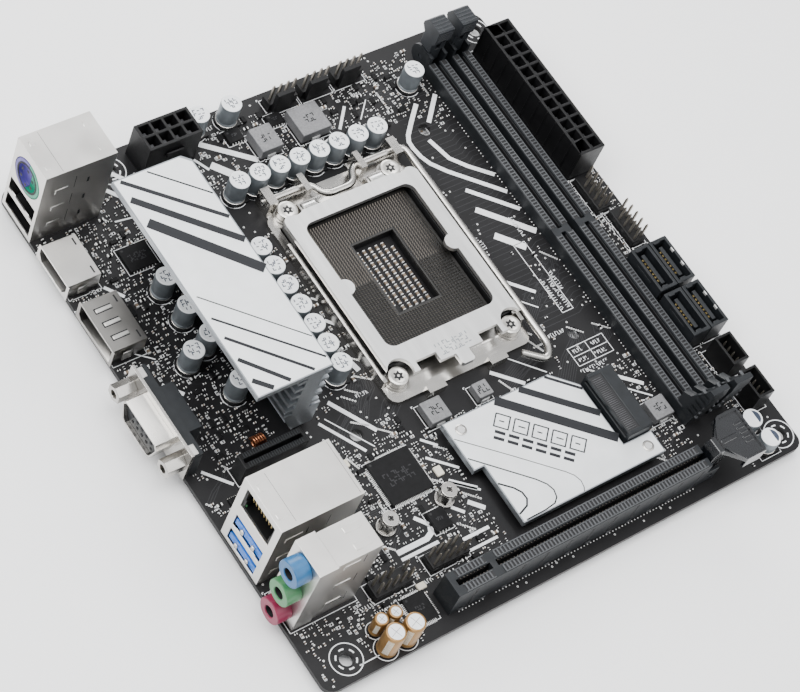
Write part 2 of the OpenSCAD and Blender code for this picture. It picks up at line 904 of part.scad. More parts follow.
module sata_contacts() {
    color([0.83, 0.68, 0.32])
    place()
    sata_positions()
    for (i = [0 : 6])
        block(2.2, 3.6 + i * 1.27, 2, 0.3, 0.6, sata_h - 3.4);
}

// Headers ------------------------------------------------------------

module header_base(c, cols, rows) {
    block(c[0] - cols * pin_pitch / 2, c[1] - rows * pin_pitch / 2, 0,
        cols * pin_pitch, rows * pin_pitch, base_h);
}

module pin_grid(c, cols, rows, h, z = base_h, skip = -1) {
    for (i = [0 : cols - 1], j = [0 : rows - 1])
        if (i * rows + j != skip)
            block(c[0] + (i - (cols - 1) / 2) * pin_pitch - pin_w / 2,
                c[1] + (j - (rows - 1) / 2) * pin_pitch - pin_w / 2, z, pin_w, pin_w, h - z);
}

module pin_headers() {
    color([0.11, 0.11, 0.12])
    place() {
        for (c = usb_headers)
            header_base(c, 2, 5);
        header_base(com_header, 5, 2);
        header_base(aafp_header, 5, 2);
    }
}

module shrouded_headers() {
    color([0.1, 0.1, 0.11])
    place()
    for (y = shroud_y)
        difference() {
            block(shroud_x, y, 0, shroud_w, shroud_l, shroud_h);
            block(shroud_x + shroud_wall, y + shroud_wall, 2, shroud_w - 2 * shroud_wall,
                shroud_l - 2 * shroud_wall, shroud_h);
        }
}

module fan_headers() {
    color([0.11, 0.11, 0.12])
    place()
    for (x = fan_x)
        union() {
            block(x - fan_l / 2, fan_y - fan_w / 2, 0, fan_l, fan_w, base_h + 0.6);
            block(x - fan_key_l / 2 - 1, fan_y - fan_w / 2 - 1.3, 0, fan_key_l, 1.3 + eps, fan_key_h);
        }
}

module header_pins() {
    color([0.62, 0.56, 0.4])
    place() {
        for (c = usb_headers)
            pin_grid(c, 2, 5, pin_h, base_h, 4);
        pin_grid(com_header, 5, 2, pin_h, base_h, 9);
        pin_grid(aafp_header, 5, 2, pin_h, base_h, 7);
        for (y = shroud_y)
            for (i = [0, 1], j = [0 : 3])
                block(shroud_x + shroud_w / 2 + (i - 0.5) * 2 - 0.25,
                    y + shroud_l / 2 + (j - 1.5) * 2 - 0.25, 2, 0.5, 0.5, 5);
        for (x = fan_x)
            pin_grid([x, fan_y], 4, 1, 9.6, base_h + 0.6);
    }
}

// Rear connectors ----------------------------------------------------

// Folded metal box, open at the rear-facing side, drawn from its lower corner
module shell(d, w, h, t) {
    difference() {
        block(0, 0, 0, d, w, h);
        block(t, t, -eps, d - 2 * t, w - 2 * t, h - t + eps);
    }
}

module ps2_usb_shell() {
    color([0.8, 0.8, 0.79])
    place()
    translate([-0.2, ps2_y0, 0])
    difference() {
        shell(ps2_d, ps2_w, ps2_h, shell_t);
        translate([-1, ps2_w / 2, ps2_z])
            rotate([0, 90, 0])
                cylinder(h = 3, r = ps2_hole_r, $fn = 48);
        for (z = usb2_z)
            block(-1, (ps2_w - usb_w) / 2, z, 3, usb_w, usb_h);
    }
}

// Half of the round port, split by colour, its flange against the back of the shell's face
module ps2_port_half(s) {
    nose = 0.5;
    translate([-0.2 + shell_t, ps2_y0 + ps2_w / 2, ps2_z])
    rotate([0, 90, 0])
    difference() {
        union() {
            translate([0, 0, -nose])
                cylinder(h = 12, r = ps2_hole_r - gap, $fn = 48);
            cylinder(h = 1, r = ps2_hole_r + 0.4, $fn = 48);
        }
        translate([0, s * 10, 6])
            cube([30, 20, 30], center = true);
        translate([0, 0, -nose - 1])
            cylinder(h = 2.6, r = 4.4, $fn = 40);
    }
}

module ps2_port_purple() {
    color([0.36, 0.27, 0.6])
    place()
    ps2_port_half(-1);
}

module ps2_port_green() {
    color([0.1, 0.6, 0.42])
    place()
    ps2_port_half(1);
}

// Insert of two stacked USB ports: a back wall that stands on the board, and two tongues
module usb_insert(ports) {
    block(0.4 + usb_depth, -usb_w / 2, 0, 2, usb_w, ports[1] + usb_h);
    for (z = ports)
        block(1.2, -usb_tongue_w / 2, z + 2.6, usb_depth, usb_tongue_w, 1.8);
}

module usb2_inserts() {
    color([0.1, 0.1, 0.11])
    place()
    translate([0, ps2_y0 + ps2_w / 2, 0])
        usb_insert(usb2_z);
}

module hdmi_shell() {
    color([0.8, 0.8, 0.79])
    place()
    translate([-0.8, hdmi_y, 0])
    difference() {
        union() {
            block(0, -hdmi_w / 2, 0, hdmi_d, hdmi_w, hdmi_h);
            block(0, -hdmi_w / 2 - 0.7, 0, 0.5, hdmi_w + 1.4, hdmi_h);
        }
        along_x(-1, hdmi_d - 1)
            polygon([[-hdmi_w / 2 + 0.4, hdmi_h - 0.4], [hdmi_w / 2 - 0.4, hdmi_h - 0.4],
                [hdmi_w / 2 - 0.4, 3], [hdmi_w / 2 - 2, 0.9], [-hdmi_w / 2 + 2, 0.9],
                [-hdmi_w / 2 + 0.4, 3]]);
    }
}

module hdmi_insert() {
    color([0.1, 0.1, 0.1])
    place()
    translate([-0.8, hdmi_y, 0])
    union() {
        block(1.2, -5.2, 3.4, hdmi_d - 3.2, 10.4, 1);
        block(hdmi_d - 3.4, -5.2, 1.4, 1.4, 10.4, 3.8);
    }
}

module displayport_shell() {
    color([0.66, 0.65, 0.63])
    place()
    translate([-0.6, dp_y, 0])
    difference() {
        union() {
            block(0, -dp_w / 2, 0, dp_d, dp_w, dp_h);
            block(0, -dp_w / 2 - 0.7, 0, 0.5, dp_w + 1.4, dp_h);
        }
        along_x(-1, dp_d - 1)
            polygon([[-dp_w / 2 + 0.4, dp_h - 0.4], [dp_w / 2 - 0.4, dp_h - 0.4],
                [dp_w / 2 - 0.4, 2.6], [dp_w / 2 - 2, 1], [-dp_w / 2 + 0.4, 1]]);
    }
}

module displayport_insert() {
    color([0.1, 0.1, 0.1])
    place()
    translate([-0.6, dp_y, 0])
    union() {
        block(1.2, -6, 3.6, dp_d - 3.2, 12, 1.2);
        block(dp_d - 3.6, -6.4, 1.4, 1.6, 12.8, 4.6);
    }
}

// Outline of the 15-way shell, wider at the top, in Y and Z about its centre
module d_outline(w, h) {
    polygon([[-w / 2 + 1, h / 2], [w / 2 - 1, h / 2], [w / 2, h / 2 - 1.6],
        [w / 2 - 1.5, -h / 2 + 1], [w / 2 - 2.6, -h / 2], [-w / 2 + 2.6, -h / 2],
        [-w / 2 + 1.5, -h / 2 + 1], [-w / 2, h / 2 - 1.6]]);
}

module vga_shell() {
    color([0.8, 0.78, 0.74])
    place()
    translate([-0.9, vga_y, vga_z])
    difference() {
        union() {
            block(0, -vga_plate_w / 2, -vga_plate_h / 2, 0.9, vga_plate_w, vga_plate_h);
            along_x(-vga_reach, vga_reach + eps)
                d_outline(vga_shell_w, vga_shell_h);
        }
        along_x(-vga_reach - 1, vga_reach + 4)
            d_outline(vga_shell_w - 1, vga_shell_h - 1);
        for (s = [-0.5, 0.5])
            translate([-1, s * vga_pitch, 0])
                rotate([0, 90, 0])
                    cylinder(h = 4, r = 1.6, $fn = 32);
    }
}

module vga_body() {
    color([0.14, 0.16, 0.18])
    place()
    difference() {
        union() {
            block(0, vga_y - vga_plate_w / 2 + 0.4, 0, 3.4, vga_plate_w - 0.8, 11);
            block(3.4, vga_y - 7.6, 0, 4.4, 15.2, 10.2);
            translate([-5.6, vga_y, vga_z])
                along_x(0, 5.6 + eps)
                    d_outline(vga_shell_w - 1.2, vga_shell_h - 1.2);
        }
        // blind socket holes, in three rows of five
        for (i = [-2 : 2], j = [-1 : 1])
            translate([-6, vga_y + i * 2.3 + j * 0.6, vga_z + j * 1.98])
                rotate([0, 90, 0])
                    cylinder(h = 4, r = 0.55, $fn = 16);
        for (s = [-0.5, 0.5])
            translate([-1, vga_y + s * vga_pitch, vga_z])
                rotate([0, 90, 0])
                    cylinder(h = 10, r = 1.6, $fn = 32);
    }
}

module vga_hex_nuts() {
    color([0.75, 0.73, 0.68])
    place()
    for (s = [-0.5, 0.5])
        translate([-0.9, vga_y + s * vga_pitch, vga_z])
            difference() {
                union() {
                    translate([-nut_len, 0, 0])
                        rotate([0, 90, 0])
                            cylinder(h = nut_len, r = nut_af / sqrt(3), $fn = 6);
                    translate([-eps, 0, 0])
                        rotate([0, 90, 0])
                            cylinder(h = 3.6, r = 1.55, $fn = 32);
                }
                translate([-nut_len - 1, 0, 0])
                    rotate([0, 90, 0])
                        cylinder(h = nut_len, r = 1.3, $fn = 32);
            }
}

module lan_usb3_shell() {
    color([0.8, 0.8, 0.79])
    place()
    translate([0.2, lan_y0, 0])
    difference() {
        shell(lan_d, lan_w, lan_h, shell_t);
        block(-1, (lan_w - 13) / 2, lan_floor_z + 1, 3, 13, 8.8);
        for (z = usb3_z)
            block(-1, (lan_w - usb_w) / 2, z, 3, usb_w, usb_h);
    }
}

module lan_insert() {
    inner_w = lan_w - 2 * shell_t;
    color([0.1, 0.1, 0.1])
    place()
    translate([0.2 + shell_t, lan_y0 + lan_w / 2, 0])
    difference() {
        block(0, -inner_w / 2, lan_floor_z, 19, inner_w, lan_h - shell_t - lan_floor_z);
        block(-eps, -5.9, lan_floor_z + 1.4, 13, 11.8, 7.8);
    }
}

module lan_contacts() {
    color([0.85, 0.7, 0.35])
    place()
    for (i = [0 : 7])
        block(2, lan_y0 + lan_w / 2 + (i - 3.5) * 1.2 - 0.25, lan_floor_z + 8, 8, 0.5, 1.2);
}

module usb3_inserts() {
    color([0.03, 0.25, 0.68])
    place()
    translate([0.2, lan_y0 + lan_w / 2, 0])
        usb_insert(usb3_z);
}

module audio_shield() {
    color([0.8, 0.8, 0.79])
    place()
    difference() {
        union() {
            block(audio_x0, audio_y0, 0, audio_front_d, audio_w, audio_h);
            block(audio_x0 + audio_front_d - eps, audio_y0 + 0.5, 0, audio_d - audio_front_d,
                audio_w - 1, audio_h - 0.4);
        }
        block(audio_x0 + 0.4, audio_y0 + 1, -eps, audio_d - 1.6, audio_w - 2, audio_h - 0.8);
        for (z = jack_z)
            translate([audio_x0 - 1, audio_y0 + audio_w / 2, z])
                rotate([0, 90, 0])
                    cylinder(h = 2, r = jack_r - 0.5, $fn = 40);
    }
}

module audio_jack(z) {
    translate([audio_x0 - jack_reach, audio_y0 + audio_w / 2, z])
    rotate([0, 90, 0])
    difference() {
        union() {
            cylinder(h = jack_reach, r = jack_r, $fn = 48);
            cylinder(h = jack_reach + 12, r = jack_r - 0.6, $fn = 48);
        }
        translate([0, 0, -1])
            cylinder(h = 15, r = jack_bore_r, $fn = 32);
    }
}

module audio_jack_blue() {
    color([0.2, 0.55, 0.8])
    place()
    audio_jack(jack_z[0]);
}

module audio_jack_green() {
    color([0.45, 0.75, 0.5])
    place()
    audio_jack(jack_z[1]);
}

module audio_jack_pink() {
    color([0.75, 0.25, 0.45])
    place()
    audio_jack(jack_z[2]);
}

// Small parts --------------------------------------------------------

function cap_points() = concat(
    [for (i = [0 : 7]) [cap_row_x0 + i * cap_row_step, cap_row_y]],
    [for (i = [0 : 6]) [cap_col_x, cap_col_y0 + i * cap_col_step]],
    single_caps);

module polymer_caps() {
    color([0.6, 0.63, 0.66])
    place()
    for (p = cap_points()) {
        block(p[0] - 3.3, p[1] - 3.3, 0, 6.6, 6.6, 0.9);
        post(p, 0.9, cap_h - 0.9, cap_d / 2, 40);
    }
}

module audio_caps() {
    color([0.75, 0.6, 0.3])
    place() {
        for (p = audio_small)
            post(p, 0, 7.4, 2, 32);
        for (p = audio_large)
            post(p, 0, 10.4, 2.9, 40);
    }
}

module low_caps() {
    color([0.8, 0.81, 0.82])
    place()
    for (p = low_cap_at) {
        block(p[0] - 3.2, p[1] - 3.2, 0, 6.4, 6.4, 0.9);
        post(p, 0.9, 4.6, 3.1, 40);
    }
}

module inductors() {
    color([0.42, 0.42, 0.44])
    place() {
        block(75.6, board_y - 20.4, 0, 7.4, 8.6, 4);
        block(90, board_y - 20.4, 0, 10.2, 10, 4);
        block(70.4, 53.2, 0, 7, 7.2, 3);
        block(87.8, 54, 0, 5, 5, 3);
        block(131.6, 25.4, 0, 6.8, 6.8, 3);
    }
}

module chips() {
    color([0.1, 0.1, 0.11])
    place() {
        block(46.6, 37.7, 0, 14, 14, 1.4);
        block(20.4, 131.6, 0, 9, 8, 1);
        block(53.4, 25.6, 0, 5.4, 6.2, 1.5);
        block(32.4, 5, 0, 7, 8.4, 1.4);
        block(84.6, board_y - 12, 0, 5, 4, 1.2);
        block(70, board_y - 12.4, 0, 5, 4.4, 1.2);
    }
}

circuit_board();
socket_backplate();
socket_housing();
socket_contacts();
socket_frame();
load_plate();
load_lever();
socket_screws();
vrm_heatsink();
vrm_thermal_pad();
vrm_mosfets();
chipset_heatsink();
chipset_heatsink_pins();
chipset();
dimm_socket_a();
dimm_socket_b();
dimm_contacts();
dimm_latch_a();
dimm_latch_b();
pcie_slot();
pcie_contacts();
pcie_latch();
m2_socket();
wifi_socket();
m2_standoffs();
m2_screws();
atx24_header();
atx8_header();
power_pins();
sata_ports();
sata_contacts();
fan_headers();
pin_headers();
shrouded_headers();
header_pins();
ps2_usb_shell();
ps2_port_purple();
ps2_port_green();
usb2_inserts();
hdmi_shell();
hdmi_insert();
displayport_shell();
displayport_insert();
vga_shell();
vga_body();
vga_hex_nuts();
lan_usb3_shell();
lan_insert();
lan_contacts();
usb3_inserts();
audio_shield();
audio_jack_blue();
audio_jack_green();
audio_jack_pink();
polymer_caps();
audio_caps();
low_caps();
inductors();
chips();
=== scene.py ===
import bmesh
import bpy
import math
import random
from mathutils import Matrix, Vector


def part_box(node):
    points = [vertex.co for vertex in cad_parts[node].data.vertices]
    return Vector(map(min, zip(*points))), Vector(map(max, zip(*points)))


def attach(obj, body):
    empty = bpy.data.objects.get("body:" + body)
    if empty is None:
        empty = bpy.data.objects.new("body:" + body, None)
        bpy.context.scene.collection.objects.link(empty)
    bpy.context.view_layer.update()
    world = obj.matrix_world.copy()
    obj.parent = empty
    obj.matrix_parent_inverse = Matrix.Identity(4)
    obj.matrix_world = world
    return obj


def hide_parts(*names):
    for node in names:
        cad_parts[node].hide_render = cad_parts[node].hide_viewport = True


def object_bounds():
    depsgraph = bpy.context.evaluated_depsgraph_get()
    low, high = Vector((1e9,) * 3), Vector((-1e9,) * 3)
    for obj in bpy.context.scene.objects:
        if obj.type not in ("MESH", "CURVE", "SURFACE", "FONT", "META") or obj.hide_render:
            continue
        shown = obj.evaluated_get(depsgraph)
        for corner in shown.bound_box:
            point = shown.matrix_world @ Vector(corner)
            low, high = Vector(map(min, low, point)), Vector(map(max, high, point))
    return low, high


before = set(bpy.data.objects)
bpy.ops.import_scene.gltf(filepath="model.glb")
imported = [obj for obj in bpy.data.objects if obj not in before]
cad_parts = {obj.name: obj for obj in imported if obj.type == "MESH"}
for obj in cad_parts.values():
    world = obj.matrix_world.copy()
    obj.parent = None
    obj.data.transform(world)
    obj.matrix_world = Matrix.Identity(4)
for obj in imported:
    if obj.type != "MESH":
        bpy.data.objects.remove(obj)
cadLow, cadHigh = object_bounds()
mm = 0.001
draw = random.Random(7)

# the board's lower corner and top face: everything below is placed in millimetres from there
boardLow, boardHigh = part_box("circuit_board")
cornerAt = Vector((boardLow.x, boardLow.y, boardHigh.z))
boardX = (boardHigh.x - boardLow.x) / mm
boardY = (boardHigh.y - boardLow.y) / mm
boardT = (boardHigh.z - boardLow.z) / mm


def boxOf(node):
    low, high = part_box(node)
    return (low - cornerAt) / mm, (high - cornerAt) / mm


def solidsOf(node):
    # boxes of the loose solids in one node
    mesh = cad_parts[node].data
    spots, home = {}, list(range(len(mesh.vertices)))

    def root(i):
        while home[i] != i:
            home[i] = home[home[i]]
            i = home[i]
        return i

    for v in mesh.vertices:
        key = tuple(round(c * 1e6) for c in v.co)
        home[root(v.index)] = root(spots.setdefault(key, v.index))
    for e in mesh.edges:
        home[root(e.vertices[0])] = root(e.vertices[1])
    groups = {}
    for v in mesh.vertices:
        groups.setdefault(root(v.index), []).append((v.co - cornerAt) / mm)
    boxes = []
    for points in groups.values():
        boxes.append((Vector([min(p[k] for p in points) for k in range(3)]),
                      Vector([max(p[k] for p in points) for k in range(3)])))
    return sorted(boxes, key=lambda b: (round(b[0].x, 2), round(b[0].y, 2)))


def at(x, y, z=0.0):
    return cornerAt + Vector((x, y, z)) * mm


def middleOf(low, high):
    return (low.x + high.x) / 2, (low.y + high.y) / 2


class Heap:
    def __init__(self):
        self.points, self.faces, self.looks, self.rounded = [], [], [], []

    def add(self, points, faces, look=0, rounded=False):
        start = len(self.points)
        self.points += [tuple(p) for p in points]
        for face in faces:
            self.faces.append([start + i for i in face])
            self.looks.append(look)
            self.rounded.append(rounded)

    # a block whose top edges and upright corners are chamfered, turned about its own middle
    def block(self, low, high, look=0, chamfer=0.0, turn=0.0, topLook=None):
        c = chamfer
        mid = [(low[0] + high[0]) / 2, (low[1] + high[1]) / 2]
        rings = [(low[2], 0.0), (high[2] - c, 0.0)] + ([(high[2], c)] if c else [])
        points = []
        for z, inset in rings:
            x0, y0, x1, y1 = low[0] + inset, low[1] + inset, high[0] - inset, high[1] - inset
            if c:
                points += [(x0 + c, y0, z), (x1 - c, y0, z), (x1, y0 + c, z), (x1, y1 - c, z),
                           (x1 - c, y1, z), (x0 + c, y1, z), (x0, y1 - c, z), (x0, y0 + c, z)]
            else:
                points += [(x0, y0, z), (x1, y0, z), (x1, y1, z), (x0, y1, z)]
        if turn:
            s, k = math.sin(math.radians(turn)), math.cos(math.radians(turn))
            points = [(mid[0] + (x - mid[0]) * k - (y - mid[1]) * s,
                       mid[1] + (x - mid[0]) * s + (y - mid[1]) * k, z) for x, y, z in points]
        self.stack(points, 8 if c else 4, len(rings), look, topLook=topLook)

    # rings of points, one above the other, closed at both ends
    def stack(self, points, n, count, look=0, rounded=False, topLook=None):
        faces = [list(range(n))[::-1]]
        for r in range(count - 1):
            for i in range(n):
                j = (i + 1) % n
                faces.append([r * n + i, r * n + j, (r + 1) * n + j, (r + 1) * n + i])
        top = [(count - 1) * n + i for i in range(n)]
        self.add(points, faces + ([top] if topLook is None else []), look, rounded)
        if topLook is not None:
            self.faces.append([len(self.points) - n * count + i for i in top])
            self.looks.append(topLook)
            self.rounded.append(False)

    # a profile of (radius, height) spun round an upright axis; a third value changes the look
    # an open one closes on itself like a tube instead of ending in two discs
    def lathe(self, x, y, profile, sides=24, look=0, flip=None, tube=False):
        place = flip or (lambda a, b, c: (x + a, y + b, c))
        points = []
        for r, z, *rest in profile:
            for i in range(sides):
                a = 2 * math.pi * i / sides
                points.append(place(r * math.cos(a), r * math.sin(a), z))
        start = len(self.points)
        self.points += points
        n = len(profile)
        if tube:
            for i in range(sides):
                j = (i + 1) % sides
                last = start + (n - 1) * sides
                self.faces.append([last + i, last + j, start + j, start + i])
                self.looks.append(look)
                self.rounded.append(True)
        else:
            self.faces.append([start + i for i in range(sides)][::-1])
            self.looks.append(profile[0][2] if len(profile[0]) > 2 else look)
            self.rounded.append(False)
        for k in range(n - 1):
            this = profile[k + 1][2] if len(profile[k + 1]) > 2 else look
            for i in range(sides):
                j = (i + 1) % sides
                self.faces.append([start + k * sides + i, start + k * sides + j,
                                   start + (k + 1) * sides + j, start + (k + 1) * sides + i])
                self.looks.append(this)
                self.rounded.append(True)
        if not tube:
            self.faces.append([start + (n - 1) * sides + i for i in range(sides)])
            self.looks.append(profile[-1][2] if len(profile[-1]) > 2 else look)
            self.rounded.append(False)

    # a level wire along a line whose corners are bent to a radius
    def wire(self, line, z, radius, bend, sides=16, look=0, steps=7):
        path = [Vector(line[0])]
        for before, here, after in zip(line, line[1:], line[2:]):
            before, here, after = Vector(before), Vector(here), Vector(after)
            reach = min(bend, (before - here).length * 0.48, (after - here).length * 0.48)
            one = here + (before - here).normalized() * reach
            two = here + (after - here).normalized() * reach
            for k in range(steps + 1):
                t = k / steps
                path.append(one * (1 - t) ** 2 + here * 2 * t * (1 - t) + two * t ** 2)
        path.append(Vector(line[-1]))
        points = []
        ends = [(0, 0.35, 0.0), (0, 0.8, 0.12)]
        rings = [(path[0], path[1] - path[0], r, push) for _, r, push in ends]
        for i, here in enumerate(path):
            ahead = path[min(i + 1, len(path) - 1)] - path[max(i - 1, 0)]
            push = 0.4 if i == 0 else (-0.4 if i == len(path) - 1 else 0)
            rings.append((here, ahead, 1.0, push))
        rings += [(path[-1], path[-1] - path[-2], 0.8, -0.12), (path[-1], path[-1] - path[-2], 0.35, 0.0)]
        for here, ahead, share, push in rings:
            ahead = ahead.normalized()
            side = Vector((ahead.y, -ahead.x))
            for k in range(sides):
                a = 2 * math.pi * k / sides
                flat = here + ahead * push + side * radius * share * math.cos(a)
                points.append((flat.x, flat.y, z + radius * share * math.sin(a)))
        self.stack(points, sides, len(rings), look, rounded=True)

    # an upright slab with any outline
    def slab(self, outline, z0, z1, look=0):
        n = len(outline)
        points = [(x, y, z0) for x, y in outline] + [(x, y, z1) for x, y in outline]
        self.stack(points, n, 2, look)

    # a thin ribbon that follows a line on a level face
    def ribbon(self, line, width, z=0.0, look=0, thick=0.03):
        left, right = [], []
        for i, p in enumerate(line):
            before = Vector(line[max(i - 1, 0)])
            after = Vector(line[min(i + 1, len(line) - 1)])
            here = Vector(p)
            one = (here - before).normalized() if i else (after - here).normalized()
            two = (after - here).normalized() if i < len(line) - 1 else one
            middle = (one + two).normalized()
            side = Vector((-middle.y, middle.x)) * width / 2 / max(middle.dot(one), 0.4)
            left.append(tuple(here + side))
            right.append(tuple(here - side))
        for i in range(len(line) - 1):
            self.slab([right[i], right[i + 1], left[i + 1], left[i]], z, z + thick, look)

    # a ring or an arc of ribbon
    def arc(self, x, y, radius, width, z=0.0, look=0, start=0.0, end=360.0, steps=28):
        line = []
        for i in range(steps + 1):
            a = math.radians(start + (end - start) * i / steps)
            line.append((x + radius * math.cos(a), y + radius * math.sin(a)))
        self.ribbon(line, width, z, look)

    # a straight rod between two points
    def rod(self, a, b, radius, sides=10, look=0, tip=0.0):
        a, b = Vector(a), Vector(b)
        along = (b - a).normalized()
        side = along.orthogonal().normalized()
        other = along.cross(side)
        ends = [(a, radius), (b - along * tip, radius)] + ([(b, radius * 0.6)] if tip else [])
        points = []
        for middle, r in ends:
            for i in range(sides):
                t = 2 * math.pi * i / sides
                points.append(middle + side * r * math.cos(t) + other * r * math.sin(t))
        self.stack(points, sides, len(ends), look, rounded=sides > 6)

    # turns the heap into one piece that rides on a body
    def make(self, name, looks, slot, body="board", instead=(), bevel=0.0, steps=2):
        mesh = bpy.data.meshes.new(name)
        mesh.from_pydata([cornerAt + Vector(p) * mm for p in self.points], [], self.faces)
        for look in looks:
            mesh.materials.append(look)
        mesh.polygons.foreach_set("material_index", self.looks)
        mesh.polygons.foreach_set("use_smooth", self.rounded)
        mesh.validate()
        mesh.set_sharp_from_angle(angle=math.radians(35))
        piece = bpy.data.objects.new(name, mesh)
        bpy.context.scene.collection.objects.link(piece)
        if bevel:
            roundEdges(piece, bevel, steps)
        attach(piece, body)
        if instead:
            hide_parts(*instead)
        return piece


# places a lathe so that its axis runs along X, at a height and a distance along the rear edge
def facing(y, z):
    return lambda a, b, c: (c, y + a, z + b)


def roundEdges(piece, width, steps=2, angle=30):
    bevel = piece.modifiers.new("rounded_edges", "BEVEL")
    bevel.width, bevel.segments = width * mm, steps
    bevel.limit_method, bevel.angle_limit = "ANGLE", math.radians(angle)
    bevel.harden_normals = True


# finishes: every one varies in colour and gloss and has a fine grain
def makeFinish(name, colour, rough=0.5, metal=0.0, vary=0.12, patch=3.0, grain=0.25, bump=0.12,
               stretch=(1, 1, 1), coat=0.0, through=0.0, shine=0.5):
    look = bpy.data.materials.new(name)
    look.use_nodes = True
    nodes, links = look.node_tree.nodes, look.node_tree.links
    shader = nodes["Principled BSDF"]
    shader.inputs["Metallic"].default_value = metal
    shader.inputs["Coat Weight"].default_value = coat
    shader.inputs["Specular IOR Level"].default_value = shine
    shader.inputs["Coat Roughness"].default_value = 0.12
    shader.inputs["Transmission Weight"].default_value = through
    where = nodes.new("ShaderNodeTexCoord")
    scale = nodes.new("ShaderNodeMapping")
    scale.inputs["Scale"].default_value = [1000 * s for s in stretch]
    links.new(where.outputs["Object"], scale.inputs["Vector"])
    patches = nodes.new("ShaderNodeTexNoise")
    patches.inputs["Scale"].default_value = 1 / patch
    patches.inputs["Detail"].default_value = 5
    links.new(scale.outputs["Vector"], patches.inputs["Vector"])
    tint = nodes.new("ShaderNodeValToRGB")
    tint.color_ramp.elements[0].position = 0.3
    tint.color_ramp.elements[1].position = 0.7
    tint.color_ramp.elements[0].color = [c * (1 - vary) for c in colour] + [1]
    tint.color_ramp.elements[1].color = [min(c * (1 + vary), 1) for c in colour] + [1]
    links.new(patches.outputs["Fac"], tint.inputs["Fac"])
    links.new(tint.outputs["Color"], shader.inputs["Base Color"])
    gloss = nodes.new("ShaderNodeMapRange")
    gloss.inputs["To Min"].default_value = max(rough * 0.8, 0.02)
    gloss.inputs["To Max"].default_value = min(rough * 1.2, 1)
    links.new(patches.outputs["Fac"], gloss.inputs["Value"])
    links.new(gloss.outputs["Result"], shader.inputs["Roughness"])
    speck = nodes.new("ShaderNodeTexNoise")
    speck.inputs["Scale"].default_value = 1 / grain
    speck.inputs["Detail"].default_value = 3
    links.new(scale.outputs["Vector"], speck.inputs["Vector"])
    dents = nodes.new("ShaderNodeBump")
    dents.inputs["Strength"].default_value = bump
    dents.inputs["Distance"].default_value = 0.1 * mm
    links.new(speck.outputs["Fac"], dents.inputs["Height"])
    links.new(dents.outputs["Normal"], shader.inputs["Normal"])
    return look


mask = makeFinish("solder_mask", (0.0085, 0.0083, 0.009), 0.42, vary=0.15, patch=9, grain=0.4, bump=0.05,
                  shine=0.22)
maskTrack = makeFinish("mask_over_copper", (0.018, 0.018, 0.02), 0.4, vary=0.1, patch=6, bump=0.05,
                       shine=0.3)
ink = makeFinish("white_ink", (0.72, 0.73, 0.74), 0.6, vary=0.06, patch=2, grain=0.12, bump=0.2)
solder = makeFinish("solder", (0.78, 0.78, 0.77), 0.34, metal=0.6, vary=0.15, patch=0.6, grain=0.2,
                    bump=0.15)
gold = makeFinish("gold_plate", (0.83, 0.62, 0.25), 0.28, metal=1, vary=0.1, patch=1, bump=0.06)
darkPlastic = makeFinish("black_nylon", (0.0055, 0.0055, 0.006), 0.42, vary=0.2, patch=2, grain=0.12,
                         bump=0.18, shine=0.22)
slatePlastic = makeFinish("slate_nylon", (0.0105, 0.0122, 0.0142), 0.45, vary=0.15, patch=2.5, grain=0.12,
                          bump=0.18, shine=0.3)
latchPlastic = makeFinish("latch_nylon", (0.021, 0.0235, 0.027), 0.42, vary=0.15, patch=2, grain=0.12,
                          bump=0.18, shine=0.35)
smokePlastic = makeFinish("smoke_plastic", (0.016, 0.0185, 0.023), 0.22, vary=0.12, patch=3, grain=0.3,
                          bump=0.05, coat=0.5, through=0.7)
nickel = makeFinish("nickel_plate", (0.50, 0.485, 0.46), 0.26, metal=1, vary=0.04, patch=7, grain=2.5,
                    bump=0.01)
shellSteel = makeFinish("shell_steel", (0.66, 0.645, 0.62), 0.33, metal=1, vary=0.05, patch=9, grain=4,
                        bump=0.01)
dimSteel = makeFinish("dim_steel", (0.30, 0.29, 0.275), 0.3, metal=1, vary=0.06, patch=6, grain=3, bump=0.01)
pinTin = makeFinish("pin_tin", (0.30, 0.275, 0.24), 0.36, metal=0.85, vary=0.12, patch=0.8, grain=0.2,
                    bump=0.06)
# a lighter copy of the socket nylon for ribs, rails and feet: painted light for their lit top faces
litRibPlastic = makeFinish("rib_nylon_painted_light", (0.046, 0.049, 0.053), 0.5, vary=0.1, patch=2, grain=0.12, bump=0.1)
rolledSteel = makeFinish("rolled_steel", (0.80, 0.80, 0.79), 0.36, metal=1, vary=0.05, patch=1.4, grain=0.3,
                         bump=0.05, stretch=(1, 0.08, 1))
darkSteel = makeFinish("dark_zinc", (0.10, 0.10, 0.105), 0.35, metal=1, vary=0.2, patch=3, bump=0.12)
blastedSilver = makeFinish("blasted_silver", (0.80, 0.82, 0.83), 0.42, metal=0.55, vary=0.03, patch=5,
                           grain=0.09, bump=0.2)
# the heatsink silver darkened for the heatsinks' sides and fins: painted shade; the same darker silver draws
# the stamped strokes on the load plate
shadeAndStampSilver = makeFinish("silver_painted_shade_and_stamps", (0.30, 0.32, 0.34), 0.36, metal=0.9, vary=0.12, patch=0.8, grain=0.12,
                        bump=0.2, stretch=(1, 0.1, 1))
greyPaint = makeFinish("grey_paint", (0.014, 0.015, 0.0175), 0.5, vary=0.08, patch=3, grain=0.1, bump=0.15,
                       shine=0.2)
padGrey = makeFinish("thermal_pad_grey", (0.32, 0.34, 0.38), 0.85, vary=0.12, patch=1, grain=0.2, bump=0.5)
epoxy = makeFinish("black_epoxy", (0.006, 0.006, 0.0065), 0.5, vary=0.2, patch=1.5, grain=0.08, bump=0.2,
                   shine=0.12)
packageGreen = makeFinish("package_laminate", (0.03, 0.07, 0.045), 0.45, vary=0.2, patch=2, bump=0.12)
